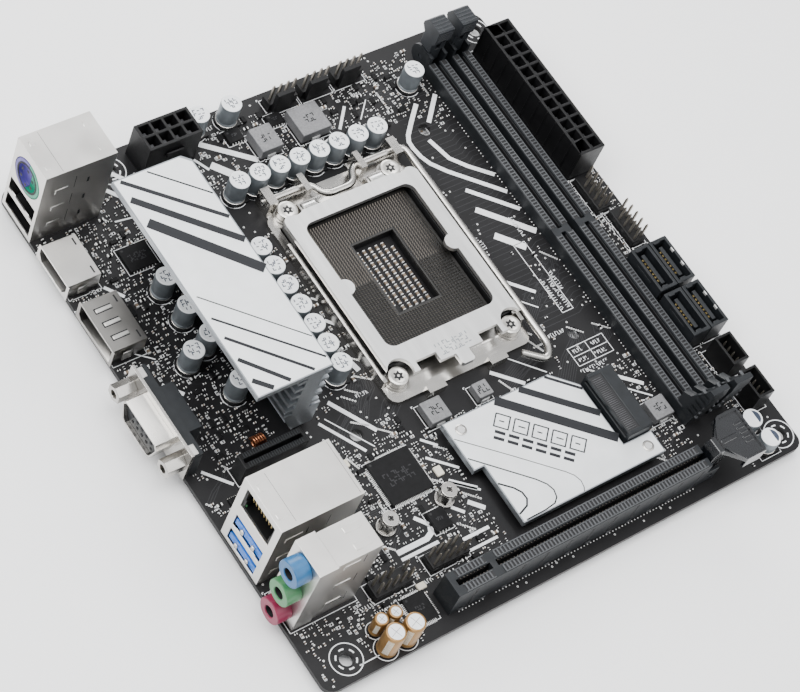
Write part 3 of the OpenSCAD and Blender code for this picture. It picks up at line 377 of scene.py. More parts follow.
contactBed = makeFinish("contact_bed", (0.008, 0.0072, 0.0062), 0.5, vary=0.2, patch=1, grain=0.15, bump=0.3)
contactLeaf = makeFinish("contact_leaf", (0.105, 0.093, 0.08), 0.34, metal=1, vary=0.15, patch=1, bump=0.05)
tin = makeFinish("tin_plate", (0.66, 0.64, 0.60), 0.32, metal=0.85, vary=0.12, patch=0.8, grain=0.2,
                 bump=0.08)
purple = makeFinish("purple_moulding", (0.07, 0.05, 0.27), 0.34, vary=0.1, patch=2, grain=0.15, bump=0.15)
green = makeFinish("green_moulding", (0.003, 0.23, 0.13), 0.34, vary=0.1, patch=2, grain=0.15, bump=0.15)
blue = makeFinish("blue_moulding", (0.012, 0.14, 0.55), 0.34, vary=0.1, patch=2, grain=0.15, bump=0.15)
jackBlue = makeFinish("jack_blue", (0.008, 0.10, 0.25), 0.36, vary=0.1, patch=2, grain=0.15, bump=0.15)
jackGreen = makeFinish("jack_green", (0.045, 0.19, 0.07), 0.36, vary=0.1, patch=2, grain=0.15, bump=0.15)
jackPink = makeFinish("jack_pink", (0.20, 0.01, 0.045), 0.36, vary=0.1, patch=2, grain=0.15, bump=0.15)
canSide = makeFinish("can_side", (0.17, 0.19, 0.205), 0.36, metal=0.5, vary=0.1, patch=2, grain=0.4,
                     bump=0.06)
canTop = makeFinish("can_top", (0.78, 0.80, 0.81), 0.45, vary=0.05, patch=1.5, grain=0.2, bump=0.1)
goldFilm = makeFinish("gold_film", (0.27, 0.15, 0.05), 0.34, metal=0.6, vary=0.12, patch=2, bump=0.06)
inkBlue = makeFinish("dark_blue_ink", (0.02, 0.03, 0.055), 0.55, vary=0.1, patch=1, bump=0.1)
ironPowder = makeFinish("iron_powder", (0.17, 0.17, 0.175), 0.5, metal=0.35, vary=0.18, patch=0.6, grain=0.1,
                        bump=0.5)
tanCeramic = makeFinish("tan_ceramic", (0.13, 0.095, 0.065), 0.5, vary=0.2, patch=1, grain=0.2, bump=0.15)
creamCeramic = makeFinish("cream_ceramic", (0.62, 0.58, 0.48), 0.5, vary=0.1, patch=1, bump=0.1)
copper = makeFinish("enamelled_copper", (0.30, 0.12, 0.06), 0.3, metal=1, vary=0.1, patch=1, bump=0.05)
hollowBlack = makeFinish("inner_shadow", (0.006, 0.006, 0.007), 0.7, vary=0.2, patch=1, bump=0.1)
palePlaster = makeFinish("pale_floor", (0.95, 0.95, 0.952), 0.75, vary=0.008, patch=60, grain=3, bump=0.02)
print("finishes made")

# camera, floor and lamps
cameraSet = {
    "stand": (-277.9, -149.7, 588.3),
    "lookAt": (77.97, 79.39, 0.0),
    "roll": 27.23,
    "lens": 116.3,
    "sensor": 36.0,
}
studioSet = {
    "floorSize": 6.0,
    "airColour": (0.95, 0.96, 0.98),
    "airStrength": 1.0,
    "airSteps": [(0.12, 0.3), (0.75, 1.15)],  # height above the horizon, 1 overhead, and how bright it is
    "floorGap": 0.0002,
    # where each lamp stands and points, in metres from the board's middle, with its size and power
    "lamps": [("key", (-0.55, 0.25, 0.75), 0.55, 9.0), ("fill", (0.5, -0.7, 0.6), 0.8, 5.0),
              ("back", (0.45, 0.75, 0.45), 0.5, 6.5), ("top", (0.0, 0.0, 1.1), 0.7, 9.0)],
}


def makeCamera():
    stand, aim = at(*cameraSet["stand"]), at(*cameraSet["lookAt"])
    back = (stand - aim).normalized()
    right = Vector((0, 0, 1)).cross(back).normalized()
    up = back.cross(right)
    roll = math.radians(cameraSet["roll"])
    across = right * math.cos(roll) + up * math.sin(roll)
    upward = up * math.cos(roll) - right * math.sin(roll)
    lens = bpy.data.cameras.new("camera")
    lens.lens, lens.sensor_width = cameraSet["lens"], cameraSet["sensor"]
    lens.clip_start, lens.clip_end = 0.05, 20
    camera = bpy.data.objects.new("camera", lens)
    bpy.context.scene.collection.objects.link(camera)
    turned = Matrix((across, upward, back)).transposed().to_4x4()
    camera.matrix_world = Matrix.Translation(stand) @ turned
    bpy.context.scene.camera = camera


def makeStudio():
    size = studioSet["floorSize"] / 2
    ground = bpy.data.meshes.new("floor")
    z = cadLow.z - studioSet["floorGap"]
    ground.from_pydata([(-size, -size, z), (size, -size, z), (size, size, z), (-size, size, z)], [],
                       [(0, 1, 2, 3)])
    ground.materials.append(palePlaster)
    floor = bpy.data.objects.new("floor", ground)
    bpy.context.scene.collection.objects.link(floor)
    air = bpy.data.worlds.new("air")
    air.use_nodes = True
    light = air.node_tree.nodes["Background"]
    light.inputs["Strength"].default_value = studioSet["airStrength"]
    # bright overhead and dimmer low down, so that bare metal has something dark to mirror
    nodes, links = air.node_tree.nodes, air.node_tree.links
    where = nodes.new("ShaderNodeTexCoord")
    split = nodes.new("ShaderNodeSeparateXYZ")
    ramp = nodes.new("ShaderNodeValToRGB")
    for stop, (height, level) in zip(ramp.color_ramp.elements, studioSet["airSteps"]):
        stop.position = height
        stop.color = (*[level * part for part in studioSet["airColour"]], 1)
    links.new(where.outputs["Generated"], split.inputs[0])
    links.new(split.outputs["Z"], ramp.inputs[0])
    links.new(ramp.outputs[0], light.inputs["Color"])
    bpy.context.scene.world = air
    middle = at(boardX / 2, boardY / 2)
    for name, place, side, power in studioSet["lamps"]:
        lamp = bpy.data.lights.new(name, "AREA")
        lamp.size, lamp.energy = side, power
        stand = bpy.data.objects.new(name, lamp)
        bpy.context.scene.collection.objects.link(stand)
        stand.location = middle + Vector(place)
        stand.rotation_euler = (-Vector(place)).to_track_quat("-Z", "Y").to_euler()


makeCamera()
makeStudio()
print("camera and studio made")


# the frame's own nodes are dressed as they are, or copied with rounded edges
def dress(node, look):
    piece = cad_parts[node]
    piece.data.materials.clear()
    piece.data.materials.append(look)
    return piece


# a copy of a node with its edges rounded, which stands for it
def soften(node, look, width, body="board", steps=2):
    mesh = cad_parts[node].data.copy()
    work = bmesh.new()
    work.from_mesh(mesh)
    bmesh.ops.remove_doubles(work, verts=work.verts, dist=2e-6)
    bmesh.ops.dissolve_limit(work, angle_limit=math.radians(0.6), verts=work.verts, edges=work.edges)
    work.to_mesh(mesh)
    work.free()
    mesh.name = node + "_edges"
    mesh.materials.clear()
    mesh.materials.append(look)
    mesh.polygons.foreach_set("use_smooth", [True] * len(mesh.polygons))
    mesh.polygons.foreach_set("material_index", [0] * len(mesh.polygons))
    mesh.set_sharp_from_angle(angle=math.radians(35))
    piece = bpy.data.objects.new(node + "_rounded", mesh)
    bpy.context.scene.collection.objects.link(piece)
    roundEdges(piece, width, steps)
    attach(piece, body)
    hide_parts(node)
    return piece


plainDress = {
    "circuit_board": mask, "socket_contacts": contactBed, "vrm_thermal_pad": padGrey, "vrm_mosfets": epoxy,
    "chipset": packageGreen, "dimm_contacts": hollowBlack, "pcie_contacts": hollowBlack,
    "power_pins": darkSteel,
    "sata_contacts": gold, "lan_contacts": gold, "vga_body": slatePlastic,
    "hdmi_insert": darkPlastic, "displayport_insert": darkPlastic,
}
# rounding in millimetres
softDress = {
    "socket_backplate": (darkSteel, 0.3), "socket_housing": (darkPlastic, 0.2),
    "socket_frame": (nickel, 0.2),
    # the power stage heatsink takes the darker silver: painted shade on its sides, its top gets the bright
    # skin further down
    "socket_screws": (nickel, 0.22), "vrm_heatsink": (shadeAndStampSilver, 0.18),
    "chipset_heatsink_pins": (rolledSteel, 0.15), "dimm_socket_a": (slatePlastic, 0.15),
    "dimm_socket_b": (slatePlastic, 0.15), "pcie_slot": (slatePlastic, 0.18),
    "m2_socket": (slatePlastic, 0.2),
    "wifi_socket": (darkPlastic, 0.2), "m2_standoffs": (nickel, 0.15), "m2_screws": (nickel, 0.2),
    "atx24_header": (darkPlastic, 0.18), "atx8_header": (darkPlastic, 0.18),
    "sata_ports": (slatePlastic, 0.18),
    "fan_headers": (darkPlastic, 0.15), "pin_headers": (darkPlastic, 0.3),
    "shrouded_headers": (darkPlastic, 0.15),
    "ps2_usb_shell": (shellSteel, 0.12), "ps2_port_purple": (purple, 0.2), "ps2_port_green": (green, 0.2),
    "usb2_inserts": (darkPlastic, 0.15), "hdmi_shell": (shellSteel, 0.15),
    "displayport_shell": (dimSteel, 0.15),
    "vga_shell": (nickel, 0.2), "vga_hex_nuts": (nickel, 0.2), "lan_usb3_shell": (shellSteel, 0.12),
    "lan_insert": (darkPlastic, 0.2), "usb3_inserts": (blue, 0.15), "audio_shield": (shellSteel, 0.15),
    "audio_jack_blue": (jackBlue, 0.3), "audio_jack_green": (jackGreen, 0.3),
    "audio_jack_pink": (jackPink, 0.3),
    # the chipset heatsink takes the darker silver too: painted shade on its sides
    "inductors": (ironPowder, 0.35), "chips": (epoxy, 0.15), "chipset_heatsink": (shadeAndStampSilver, 0.2),
}
movingDress = {
    "load_plate": (rolledSteel, 0.3), "dimm_latch_a": (latchPlastic, 0.3),
    "dimm_latch_b": (latchPlastic, 0.3),
    "pcie_latch": (smokePlastic, 0.3),
}
for node, look in plainDress.items():
    dress(node, look)
for node, (look, width) in softDress.items():
    soften(node, look, width)
for node, (look, width) in movingDress.items():
    soften(node, look, width, body=node)
print("frame dressed")


# painted faces of both heatsinks
plateSet = {
    "paintThick": 0.04,
    "inset": 0.35,
    "powerEdge": 38.3,
    "powerCut": 2.6,
    # power stage plate: where each dark stripe starts and ends, and its width
    "powerStripes": [((24.3, 142.5), (37.7, 128.9), 0.5), ((15.4, 143.0), (37.9, 120.4), 1.25),
                     ((15.9, 136.0), (37.9, 112.4), 2.1), ((16.3, 127.8), (37.9, 102.3), 3.1),
                     ((15.9, 102.6), (37.9, 79.1), 0.35), ((15.9, 95.3), (37.9, 72.2), 0.65),
                     ((15.9, 88.8), (33.1, 70.0), 0.9), ((15.6, 81.7), (25.4, 70.0), 1.2),
                     ((15.6, 74.7), (20.1, 70.0), 1.5)],
    # chipset plate: bold stripes, then fine curved lines
    "chipStripes": [((107.9, 51.1), (116.1, 43.0), 0.9), ((98.6, 51.1), (116.1, 34.2), 2.2),
                    ((89.9, 51.1), (116.1, 25.4), 3.0)],
    "chipLines": [([(72.0, 46.0), (84.3, 34.3), (95.4, 23.4), (97.0, 21.4), (97.7, 19.2), (97.3, 17.2),
                    (96.6, 16.1)], 0.25),
                  ([(72.0, 39.3), (86.0, 25.4), (88.1, 22.7), (88.8, 20.4), (88.2, 18.2), (86.6, 16.9),
                    (83.0, 16.4), (76.2, 16.3)], 0.4),
                  ([(75.3, 29.1), (78.6, 26.0), (80.0, 23.8), (80.1, 21.6), (78.8, 19.8), (75.4, 18.6)],
                   0.55)],
}


# keeps a line inside a box by trimming its ends
def trim(a, b, low, high):
    a, b = Vector(a), Vector(b)
    t0, t1 = 0.0, 1.0
    d = b - a
    for k in (0, 1):
        if abs(d[k]) < 1e-9:
            continue
        one, two = (low[k] - a[k]) / d[k], (high[k] - a[k]) / d[k]
        t0, t1 = max(t0, min(one, two)), min(t1, max(one, two))
    return a + d * t0, a + d * t1


def paintPowerPlate():
    low, high = boxOf("vrm_heatsink")
    plateEdge = plateSet["powerEdge"]
    inset = plateSet["inset"]
    skin, marks = Heap(), Heap()
    cut = plateSet["powerCut"]
    outline = [(low.x + inset, low.y + inset), (plateEdge - inset, low.y + inset),
               (plateEdge - inset, high.y - inset - cut), (plateEdge - inset - cut, high.y - inset),
               (low.x + inset, high.y - inset)]
    skin.slab(outline, high.z, high.z + plateSet["paintThick"])
    skin.make("power_plate_face", [blastedSilver], "silver_heatsink", bevel=0.02, steps=1)
    for a, b, width in plateSet["powerStripes"]:
        a, b = trim(a, b, (low.x + 1.4, low.y + 0.9), (plateEdge - 0.6, high.y - 0.9))
        marks.ribbon([a, b], width, high.z + plateSet["paintThick"])
    marks.make("power_plate_stripes", [greyPaint], "silver_heatsink")


def paintChipPlate():
    low, high = boxOf("chipset_heatsink")
    inset = plateSet["inset"]
    left, right, far = 71.5, 116.4, 126.5
    outline = [(left + inset, high.y - inset), (left + inset, 35.3 + inset), (75 + inset, 35.3 + inset),
               (75 + inset, low.y + inset), (far - inset, low.y + inset), (far - inset, 23.2 - inset),
               (right - inset, 23.2 - inset), (right - inset, high.y - 7.2), (right - 7.2, high.y - inset)]
    skin, marks = Heap(), Heap()
    skin.slab(outline, high.z, high.z + plateSet["paintThick"])
    skin.make("chip_plate_face", [blastedSilver], "silver_heatsink")
    top = high.z + plateSet["paintThick"]
    for a, b, width in plateSet["chipStripes"]:
        marks.ribbon([a, b], width, top)
    for line, width in plateSet["chipLines"]:
        marks.ribbon(line, width, top)
    # a plain motif of open frames over solid bars
    slope = Vector((1, -0.97)).normalized()
    fall = Vector((-0.72, -0.70))
    for k in range(5):
        corner = Vector((88.0, 47.6)) + slope * k * 5.6
        wide, tall = slope * 4.2, fall * 4.3
        frameLine = [corner, corner + wide, corner + wide + tall, corner + tall, corner]
        marks.ribbon([tuple(p) for p in frameLine], 0.42, top)
        inside = corner + wide * 0.3 + tall * 0.5
        marks.ribbon([tuple(inside), tuple(inside + wide * (0.5 if k % 2 else 0.35))], 0.42, top)
    for k in range(6):
        corner = Vector((84.2, 43.0)) + slope * k * 4.1
        marks.ribbon([tuple(corner), tuple(corner + slope * 3.1)], 1.0, top)
        below = corner + fall * 2.0
        marks.ribbon([tuple(below), tuple(below + slope * 3.1)], 1.0, top)
    marks.make("chip_plate_marks", [greyPaint], "silver_heatsink")


paintPowerPlate()
paintChipPlate()
print("heatsinks painted")


# printed marks and tracks on the board
silkSet = {
    "ringRadius": 5.0,
    "dashRadius": 2.9,
    "holes": [(10.16, 6.35), (165.1, 6.35), (33.02, 163.83), (165.1, 163.83)],
    # bold lines: points, then width
    "bold": [([(131.3, 148), (126.2, 143.2), (122.3, 139.3), (121.1, 137.2), (121, 134.7), (121.5, 131.2),
               (122.7, 128), (126, 123.6), (139, 110)], 1.4),
             ([(139, 148.7), (131, 140.7)], 1.4),
             ([(127.3, 135.3), (129.3, 127.3), (133, 122.6), (139, 116.7)], 1.4),
             ([(127.3, 115.7), (139, 103.3)], 1.4), ([(126, 108.7), (139, 94.7)], 2.0),
             ([(126, 98.7), (132.7, 91.3)], 2.3), ([(61.6, 161.8), (75, 150)], 1.8),
             ([(61.1, 154), (65.4, 148.6)], 2.5), ([(57.5, 157.6), (59.8, 152.8)], 0.8),
             ([(40, 25.6), (50, 25.6), (52.2, 26.6), (53, 28.2)], 1.6), ([(40, 23.4), (52.5, 23.4)], 1.0),
             ([(58.6, 20.8), (68, 20.8)], 1.0), ([(58.6, 17.2), (68.5, 17.2)], 0.8),
             ([(50.3, 32.5), (53, 29)], 1.2), ([(61.8, 30.5), (64.4, 27.5)], 1.0),
             ([(65.8, 37.5), (72, 32)], 1.4),
             ([(67, 29.8), (70.5, 26)], 1.4), ([(97.1, 60.9), (104.6, 53.4)], 1.2),
             ([(104.7, 62.4), (112.8, 53.7)], 0.4), ([(65.9, 51.8), (69.5, 48.1)], 0.8),
             ([(64, 46.4), (71, 39.6)], 0.8), ([(65.7, 37.3), (72.6, 31.2)], 0.7),
             ([(61.9, 80.7), (62.5, 77.8)], 1.6),
             ([(64.7, 86.7), (66.3, 83.4)], 2.0), ([(63.1, 103.6), (65.8, 101)], 0.6),
             ([(62.7, 95.7), (65.8, 92.2)], 1.0), ([(6.8, 110), (12.2, 105.2)], 0.35),
             ([(11.2, 131), (15, 126)], 1.0), ([(9.5, 97.5), (13.6, 92.4)], 1.2), ([(5, 70), (11, 63)], 0.9),
             ([(3.4, 148.6), (8.6, 143.8)], 1.4), ([(25.3, 148.4), (34, 147.2)], 0.5),
             ([(27.5, 160), (34.2, 151.2)], 1.3), ([(31, 165.5), (38.4, 155.8)], 1.3),
             ([(42.5, 68.5), (50.0, 55.5)], 0.9), ([(44.8, 69), (53, 55.6)], 0.35),
             ([(48.6, 73), (56.4, 59.6)], 1.3),
             ([(104, 149.5), (110, 156)], 0.9), ([(112, 150), (117.5, 155.5)], 0.35),
             ([(96, 147.2), (101, 148.4)], 0.5), ([(12.4, 3.2), (29.4, 3.2)], 0.3),
             ([(128.7, 46), (137.5, 38)], 1.2), ([(129.5, 41), (137.5, 33.5)], 0.5),
             ([(119.5, 84), (126, 77.3)], 1.1), ([(119.4, 77), (123.6, 72.6)], 0.4)],
    "boxes": [(129.3, 68, 133.3, 93.3), (123, 51, 136, 57.3), (155.2, 74.2, 161.6, 96.4),
              (26, 56, 37.5, 61.4)],
    "table": [((123, 54.2), (136, 54.2)), ((129.5, 51), (129.5, 57.3))],
    "ticks": [125, 116, 106, 95.7],
    # what gets a thin outline, and how far it stands off
    "outlined": ["atx24_header", "pin_headers", "shrouded_headers", "fan_headers", "inductors", "chips",
                 "sata_ports", "m2_socket", "wifi_socket", "low_caps", "hdmi_shell", "displayport_shell",
                 "audio_shield"],
    "gap": 0.55,
    # short rows of strokes where labels go: place, turn in degrees, number of strokes
    "labels": [(124.2, 52.0, 0, 4), (131.0, 52.0, 0, 4), (124.2, 55.2, 0, 4), (131.0, 55.2, 0, 4),
               (122.4, 48.6, 0, 12), (130.6, 69.0, 90, 13), (132.9, 69.0, 90, 13), (121.2, 96, 90, 6),
               (120.4, 62.5, 0, 7), (135, 95, 90, 9), (70, 12.6, 0, 14), (58.6, 13.2, 0, 6),
               (20.6, 15.6, 0, 7),
               (40.4, 14.4, 0, 5), (84, 146.2, 0, 6), (64, 164.6, 0, 6), (124, 158.6, 90, 4),
               (134.6, 30, 90, 5),
               (152.2, 8, 90, 7), (134.8, 75, 90, 8), (156.2, 99, 90, 5), (6, 134.6, 90, 5),
               (6.6, 103.4, 0, 4),
               (33.8, 44.8, 0, 6), (62.4, 43.6, 90, 4), (57, 70.6, 0, 5), (44, 74.6, 90, 6),
               (102.5, 152, 90, 5),
               (20.8, 56.2, 0, 4), (3.6, 57.6, 90, 3), (44.6, 33.5, 90, 4), (86, 12.8, 0, 10)],
    "strokeTall": 1.2,
    "strokeStep": 0.85,
}


def printMarks():
    marks = Heap()
    for x, y in silkSet["holes"]:
        marks.arc(x, y, silkSet["ringRadius"] - 0.4, 0.3, steps=40)
        for k in range(6):
            marks.arc(x, y, silkSet["dashRadius"], 0.45, start=60 * k + 12, end=60 * k + 42, steps=5)
    for line, width in silkSet["bold"]:
        marks.ribbon(line, width)
    for x0, y0, x1, y1 in silkSet["boxes"]:
        marks.ribbon([(x0, y0), (x1, y0), (x1, y1), (x0, y1), (x0, y0)], 0.2)
    for y in silkSet["ticks"]:
        marks.ribbon([(117, y), (119, y)], 0.4)
    for line in silkSet["table"]:
        marks.ribbon(line, 0.2)
    # thin outlines round what stands on the board, with a corner mark
    gap = silkSet["gap"]
    for node in silkSet["outlined"]:
        for low, high in solidsOf(node):
            x0, y0 = max(low.x - gap, 0.3), max(low.y - gap, 0.3)
            x1, y1 = min(high.x + gap, boardX - 0.3), min(high.y + gap, boardY - 0.3)
            marks.ribbon([(x0, y0), (x1, y0), (x1, y1), (x0, y1), (x0, y0)], 0.18)
            marks.ribbon([(x0 - 0.5, y1), (x0 - 0.5, y1 + 0.5), (x0, y1 + 0.5)], 0.22)
    for low, high in solidsOf("polymer_caps") + solidsOf("audio_caps"):
        x, y = middleOf(low, high)
        marks.arc(x, y, (high.x - low.x) / 2 + gap, 0.22, start=20, end=340, steps=24)
    # strokes in short rows, where such a board carries its printed labels
    tall, step = silkSet["strokeTall"], silkSet["strokeStep"]
    for x, y, turn, count in silkSet["labels"]:
        for k in range(count):
            a, b = k * step, draw.choice([0.0, 0.0, tall / 2])
            strokes = [[(a, b), (a, tall)],
                       [(a, draw.choice([0.0, tall])), (a + 0.45, draw.choice([0.0, tall]))]]
            for stroke in strokes:
                if turn:
                    stroke = [(-q, p) for p, q in stroke]
                marks.ribbon([(x + p, y + q) for p, q in stroke], 0.16)
    marks.make("printed_marks", [ink], "board_laminate")


clearSet = {
    "overhead": ("circuit_board", "socket_backplate", "socket_contacts", "chipset", "vrm_heatsink"),
    "underPlates": [(71.5, 15.0, 127.3, 52.0), (30.5, 69.5, 41.2, 143.0)],
    "caseHoleReach": 5.2,
    "coolerHoles": [(50.3, 61.0), (50.3, 139.0), (128.3, 61.0), (128.3, 139.0)],
    "coolerHoleReach": 3.2,
}
# where things stand, so that small parts keep clear of them
standing = []
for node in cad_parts:
    if node in clearSet["overhead"]:
        continue
    for low, high in solidsOf(node):
        standing.append((low.x, low.y, high.x, high.y))
standing += clearSet["underPlates"]
for spots, reach in ((silkSet["holes"], clearSet["caseHoleReach"]),
                     (clearSet["coolerHoles"], clearSet["coolerHoleReach"])):
    for x, y in spots:
        standing.append((x - reach, y - reach, x + reach, y + reach))
for line, width in silkSet["bold"]:
    for p, q in zip(line, line[1:]):
        count = int(math.dist(p, q) / 0.8) + 1
        for k in range(count + 1):
            x, y = p[0] + (q[0] - p[0]) * k / count, p[1] + (q[1] - p[1]) * k / count
            standing.append((x - width * 0.6, y - width * 0.6, x + width * 0.6, y + width * 0.6))


def isClear(x0, y0, x1, y1, gap=0.35):
    if x0 < 0.6 or y0 < 0.6 or x1 > boardX - 0.6 or y1 > boardY - 0.6:
        return False
    for a0, b0, a1, b1 in standing:
        if x0 < a1 + gap and x1 > a0 - gap and y0 < b1 + gap and y1 > b0 - gap:
            return False
    return True


# bundles of tracks that show faintly through the mask, and the small holes between layers
trackSet = {
    "bundles": [((122, 150), (137, 150), 10, 0.7), ((137.5, 62), (137.5, 145), 0, 0),
                ((119, 62), (119, 92), 7, 0.8), ((60, 57), (70, 68), 8, 0.6), ((55, 62), (64, 74), 9, 0.6),
                ((42, 56), (56, 70), 6, 0.8), ((64, 38), (71, 46), 6, 0.7), ((64, 22), (71, 29), 8, 0.7),
                ((40, 26.8), (46, 33), 8, 0.6), ((100, 53), (116, 60), 9, 0.6),
                ((118, 47), (131, 60), 8, 0.7),
                ((128.5, 14), (139, 24), 8, 0.7), ((147, 40), (147.2, 150), 0, 0),
                ((26, 36), (44, 36), 9, 0.6),
                ((28, 46), (45, 52), 8, 0.6), ((28, 24), (44, 33), 5, 0.7), ((116, 66), (139, 84), 10, 0.6),
                ((58, 72), (65, 80), 6, 0.7), ((2, 60), (12, 68), 6, 0.7), ((128, 46), (139, 58), 9, 0.6)],
    "vias": 900,
    # radius and height up the ring round a small hole
    "via": [(0.32, 0.0), (0.3, 0.03), (0.14, 0.03), (0.1, 0.01, 1)],
    "comb": 46,
    "combPitch": 1.75,
}


def runTracks():
    tracks, vias = Heap(), Heap()
    for a, b, count, pitch in trackSet["bundles"]:
        a, b = Vector(a), Vector(b)
        side = Vector((-(b - a).y, (b - a).x)).normalized() * pitch if count else Vector((0, 0))
        for k in range(count):
            p, q = a + side * k, b + side * k
            bend = p + (q - p) * draw.uniform(0.3, 0.6)
            turned = Vector(((q - p).x * 0.35, 0)) + bend
            points = [tuple(p), tuple(bend), tuple((turned + q) / 2), tuple(q)]
            if all(0.8 < x < boardX - 0.8 and 0.8 < y < boardY - 0.8 for x, y in points):
                tracks.ribbon(points, 0.22, thick=0.012)
                for x, y in (points[0], points[-1]):
                    vias.lathe(x, y, trackSet["via"], sides=10)
    # comb of tracks between the memory sockets and the processor
    for k in range(trackSet["comb"]):
        y = 66 + k * trackSet["combPitch"]
        x = 120 + (k % 5) * 0.8
        tracks.ribbon([(x, y), (134.2, y), (136.6, y + 1.2), (139.4, y + 1.2)], 0.2, thick=0.012)
    for _ in range(trackSet["vias"]):
        x, y = draw.uniform(1, boardX - 1), draw.uniform(1, boardY - 1)
        if isClear(x - 0.4, y - 0.4, x + 0.4, y + 0.4, 0.1):
            vias.lathe(x, y, trackSet["via"], sides=10)
    tracks.make("buried_tracks", [maskTrack], "board_laminate")
    vias.make("layer_holes", [solder, hollowBlack], "board_laminate")


printMarks()
runTracks()
print("board printed")


# processor socket: the field of spring leaves, and small capacitors in its middle
socketSet = {
    "pitch": 0.92,
    "leafWide": 0.3,
    "windowX": 7.2,
    "windowY": 12.3,
    # rise of a leaf along its length, from its root to its tip
    "leafRise": [(-0.31, 0.0), (0.1, 0.34), (0.31, 0.46)],
}


def makeContactField():
    low, high = boxOf("socket_contacts")
    cx, cy = middleOf(low, high)
    leaves, cells = Heap(), Heap()
    pitch = socketSet["pitch"]
    nx, ny = int((high.x - low.x - 1.0) / pitch), int((high.y - low.y - 1.0) / pitch)
    for i in range(nx):
        for j in range(ny):
            x, y = cx + (i - (nx - 1) / 2) * pitch, cy + (j - (ny - 1) / 2) * pitch
            if abs(x - cx) < socketSet["windowX"] + 0.5 and abs(y - cy) < socketSet["windowY"] + 0.5:
                continue
            w = socketSet["leafWide"] / 2
            lean = 1 if y > cy else -1
            # a leaf rises out of its cell and bends flat at its tip
            points = []
            for t, h in socketSet["leafRise"]:
                for side in (-w, w):
                    points.append((x + side, y + lean * t, high.z + h))
                    points.append((x + side, y + lean * t, high.z + h - 0.06))
            leaves.add(points, [(0, 2, 6, 4), (4, 6, 10, 8), (1, 5, 7, 3), (5, 9, 11, 7), (0, 4, 5, 1),
                                (4, 8, 9, 5),
                                (2, 3, 7, 6), (6, 7, 11, 10), (0, 1, 3, 2), (8, 10, 11, 9)])
            cells.block((x - 0.42, y - 0.42, high.z - 0.02), (x - 0.34, y + 0.42, high.z + 0.16))
    leaves.make("contact_leaves", [contactLeaf], "contact_bed")
    cells.make("contact_cells", [contactBed], "contact_bed")


def makeCavityParts():
    low, high = boxOf("socket_contacts")
    cx, cy = middleOf(low, high)
    bodies = Heap()
    for i in range(6):
        for j in range(10):
            x = cx + (i - 2.5) * 2.2
            y = cy + (j - 4.5) * 2.25
            if (i, j) in ((0, 0), (5, 9)):
                continue
            bodies.block((x - 0.42, y - 0.8, 0.0), (x + 0.42, y - 0.5, 0.62), 1, 0.05)
            bodies.block((x - 0.4, y - 0.5, 0.0), (x + 0.4, y + 0.5, 0.6), 0, 0.05)
            bodies.block((x - 0.42, y + 0.5, 0.0), (x + 0.42, y + 0.8, 0.62), 1, 0.05)
    bodies.make("cavity_capacitors", [tanCeramic, solder], "chip_black")


makeContactField()
makeCavityParts()


# memory sockets: ribs along the top, contacts in the groove, ridges on the latches
memorySet = {
    "ribPitch": 1.12,
    "top": 5.0,
    "spans": ((25.2, 88.4), (91.2, 155.8)),  # the groove either side of the key
    "key": 89.8,
    "keyHalf": 1.7,
    "end": 155,
}


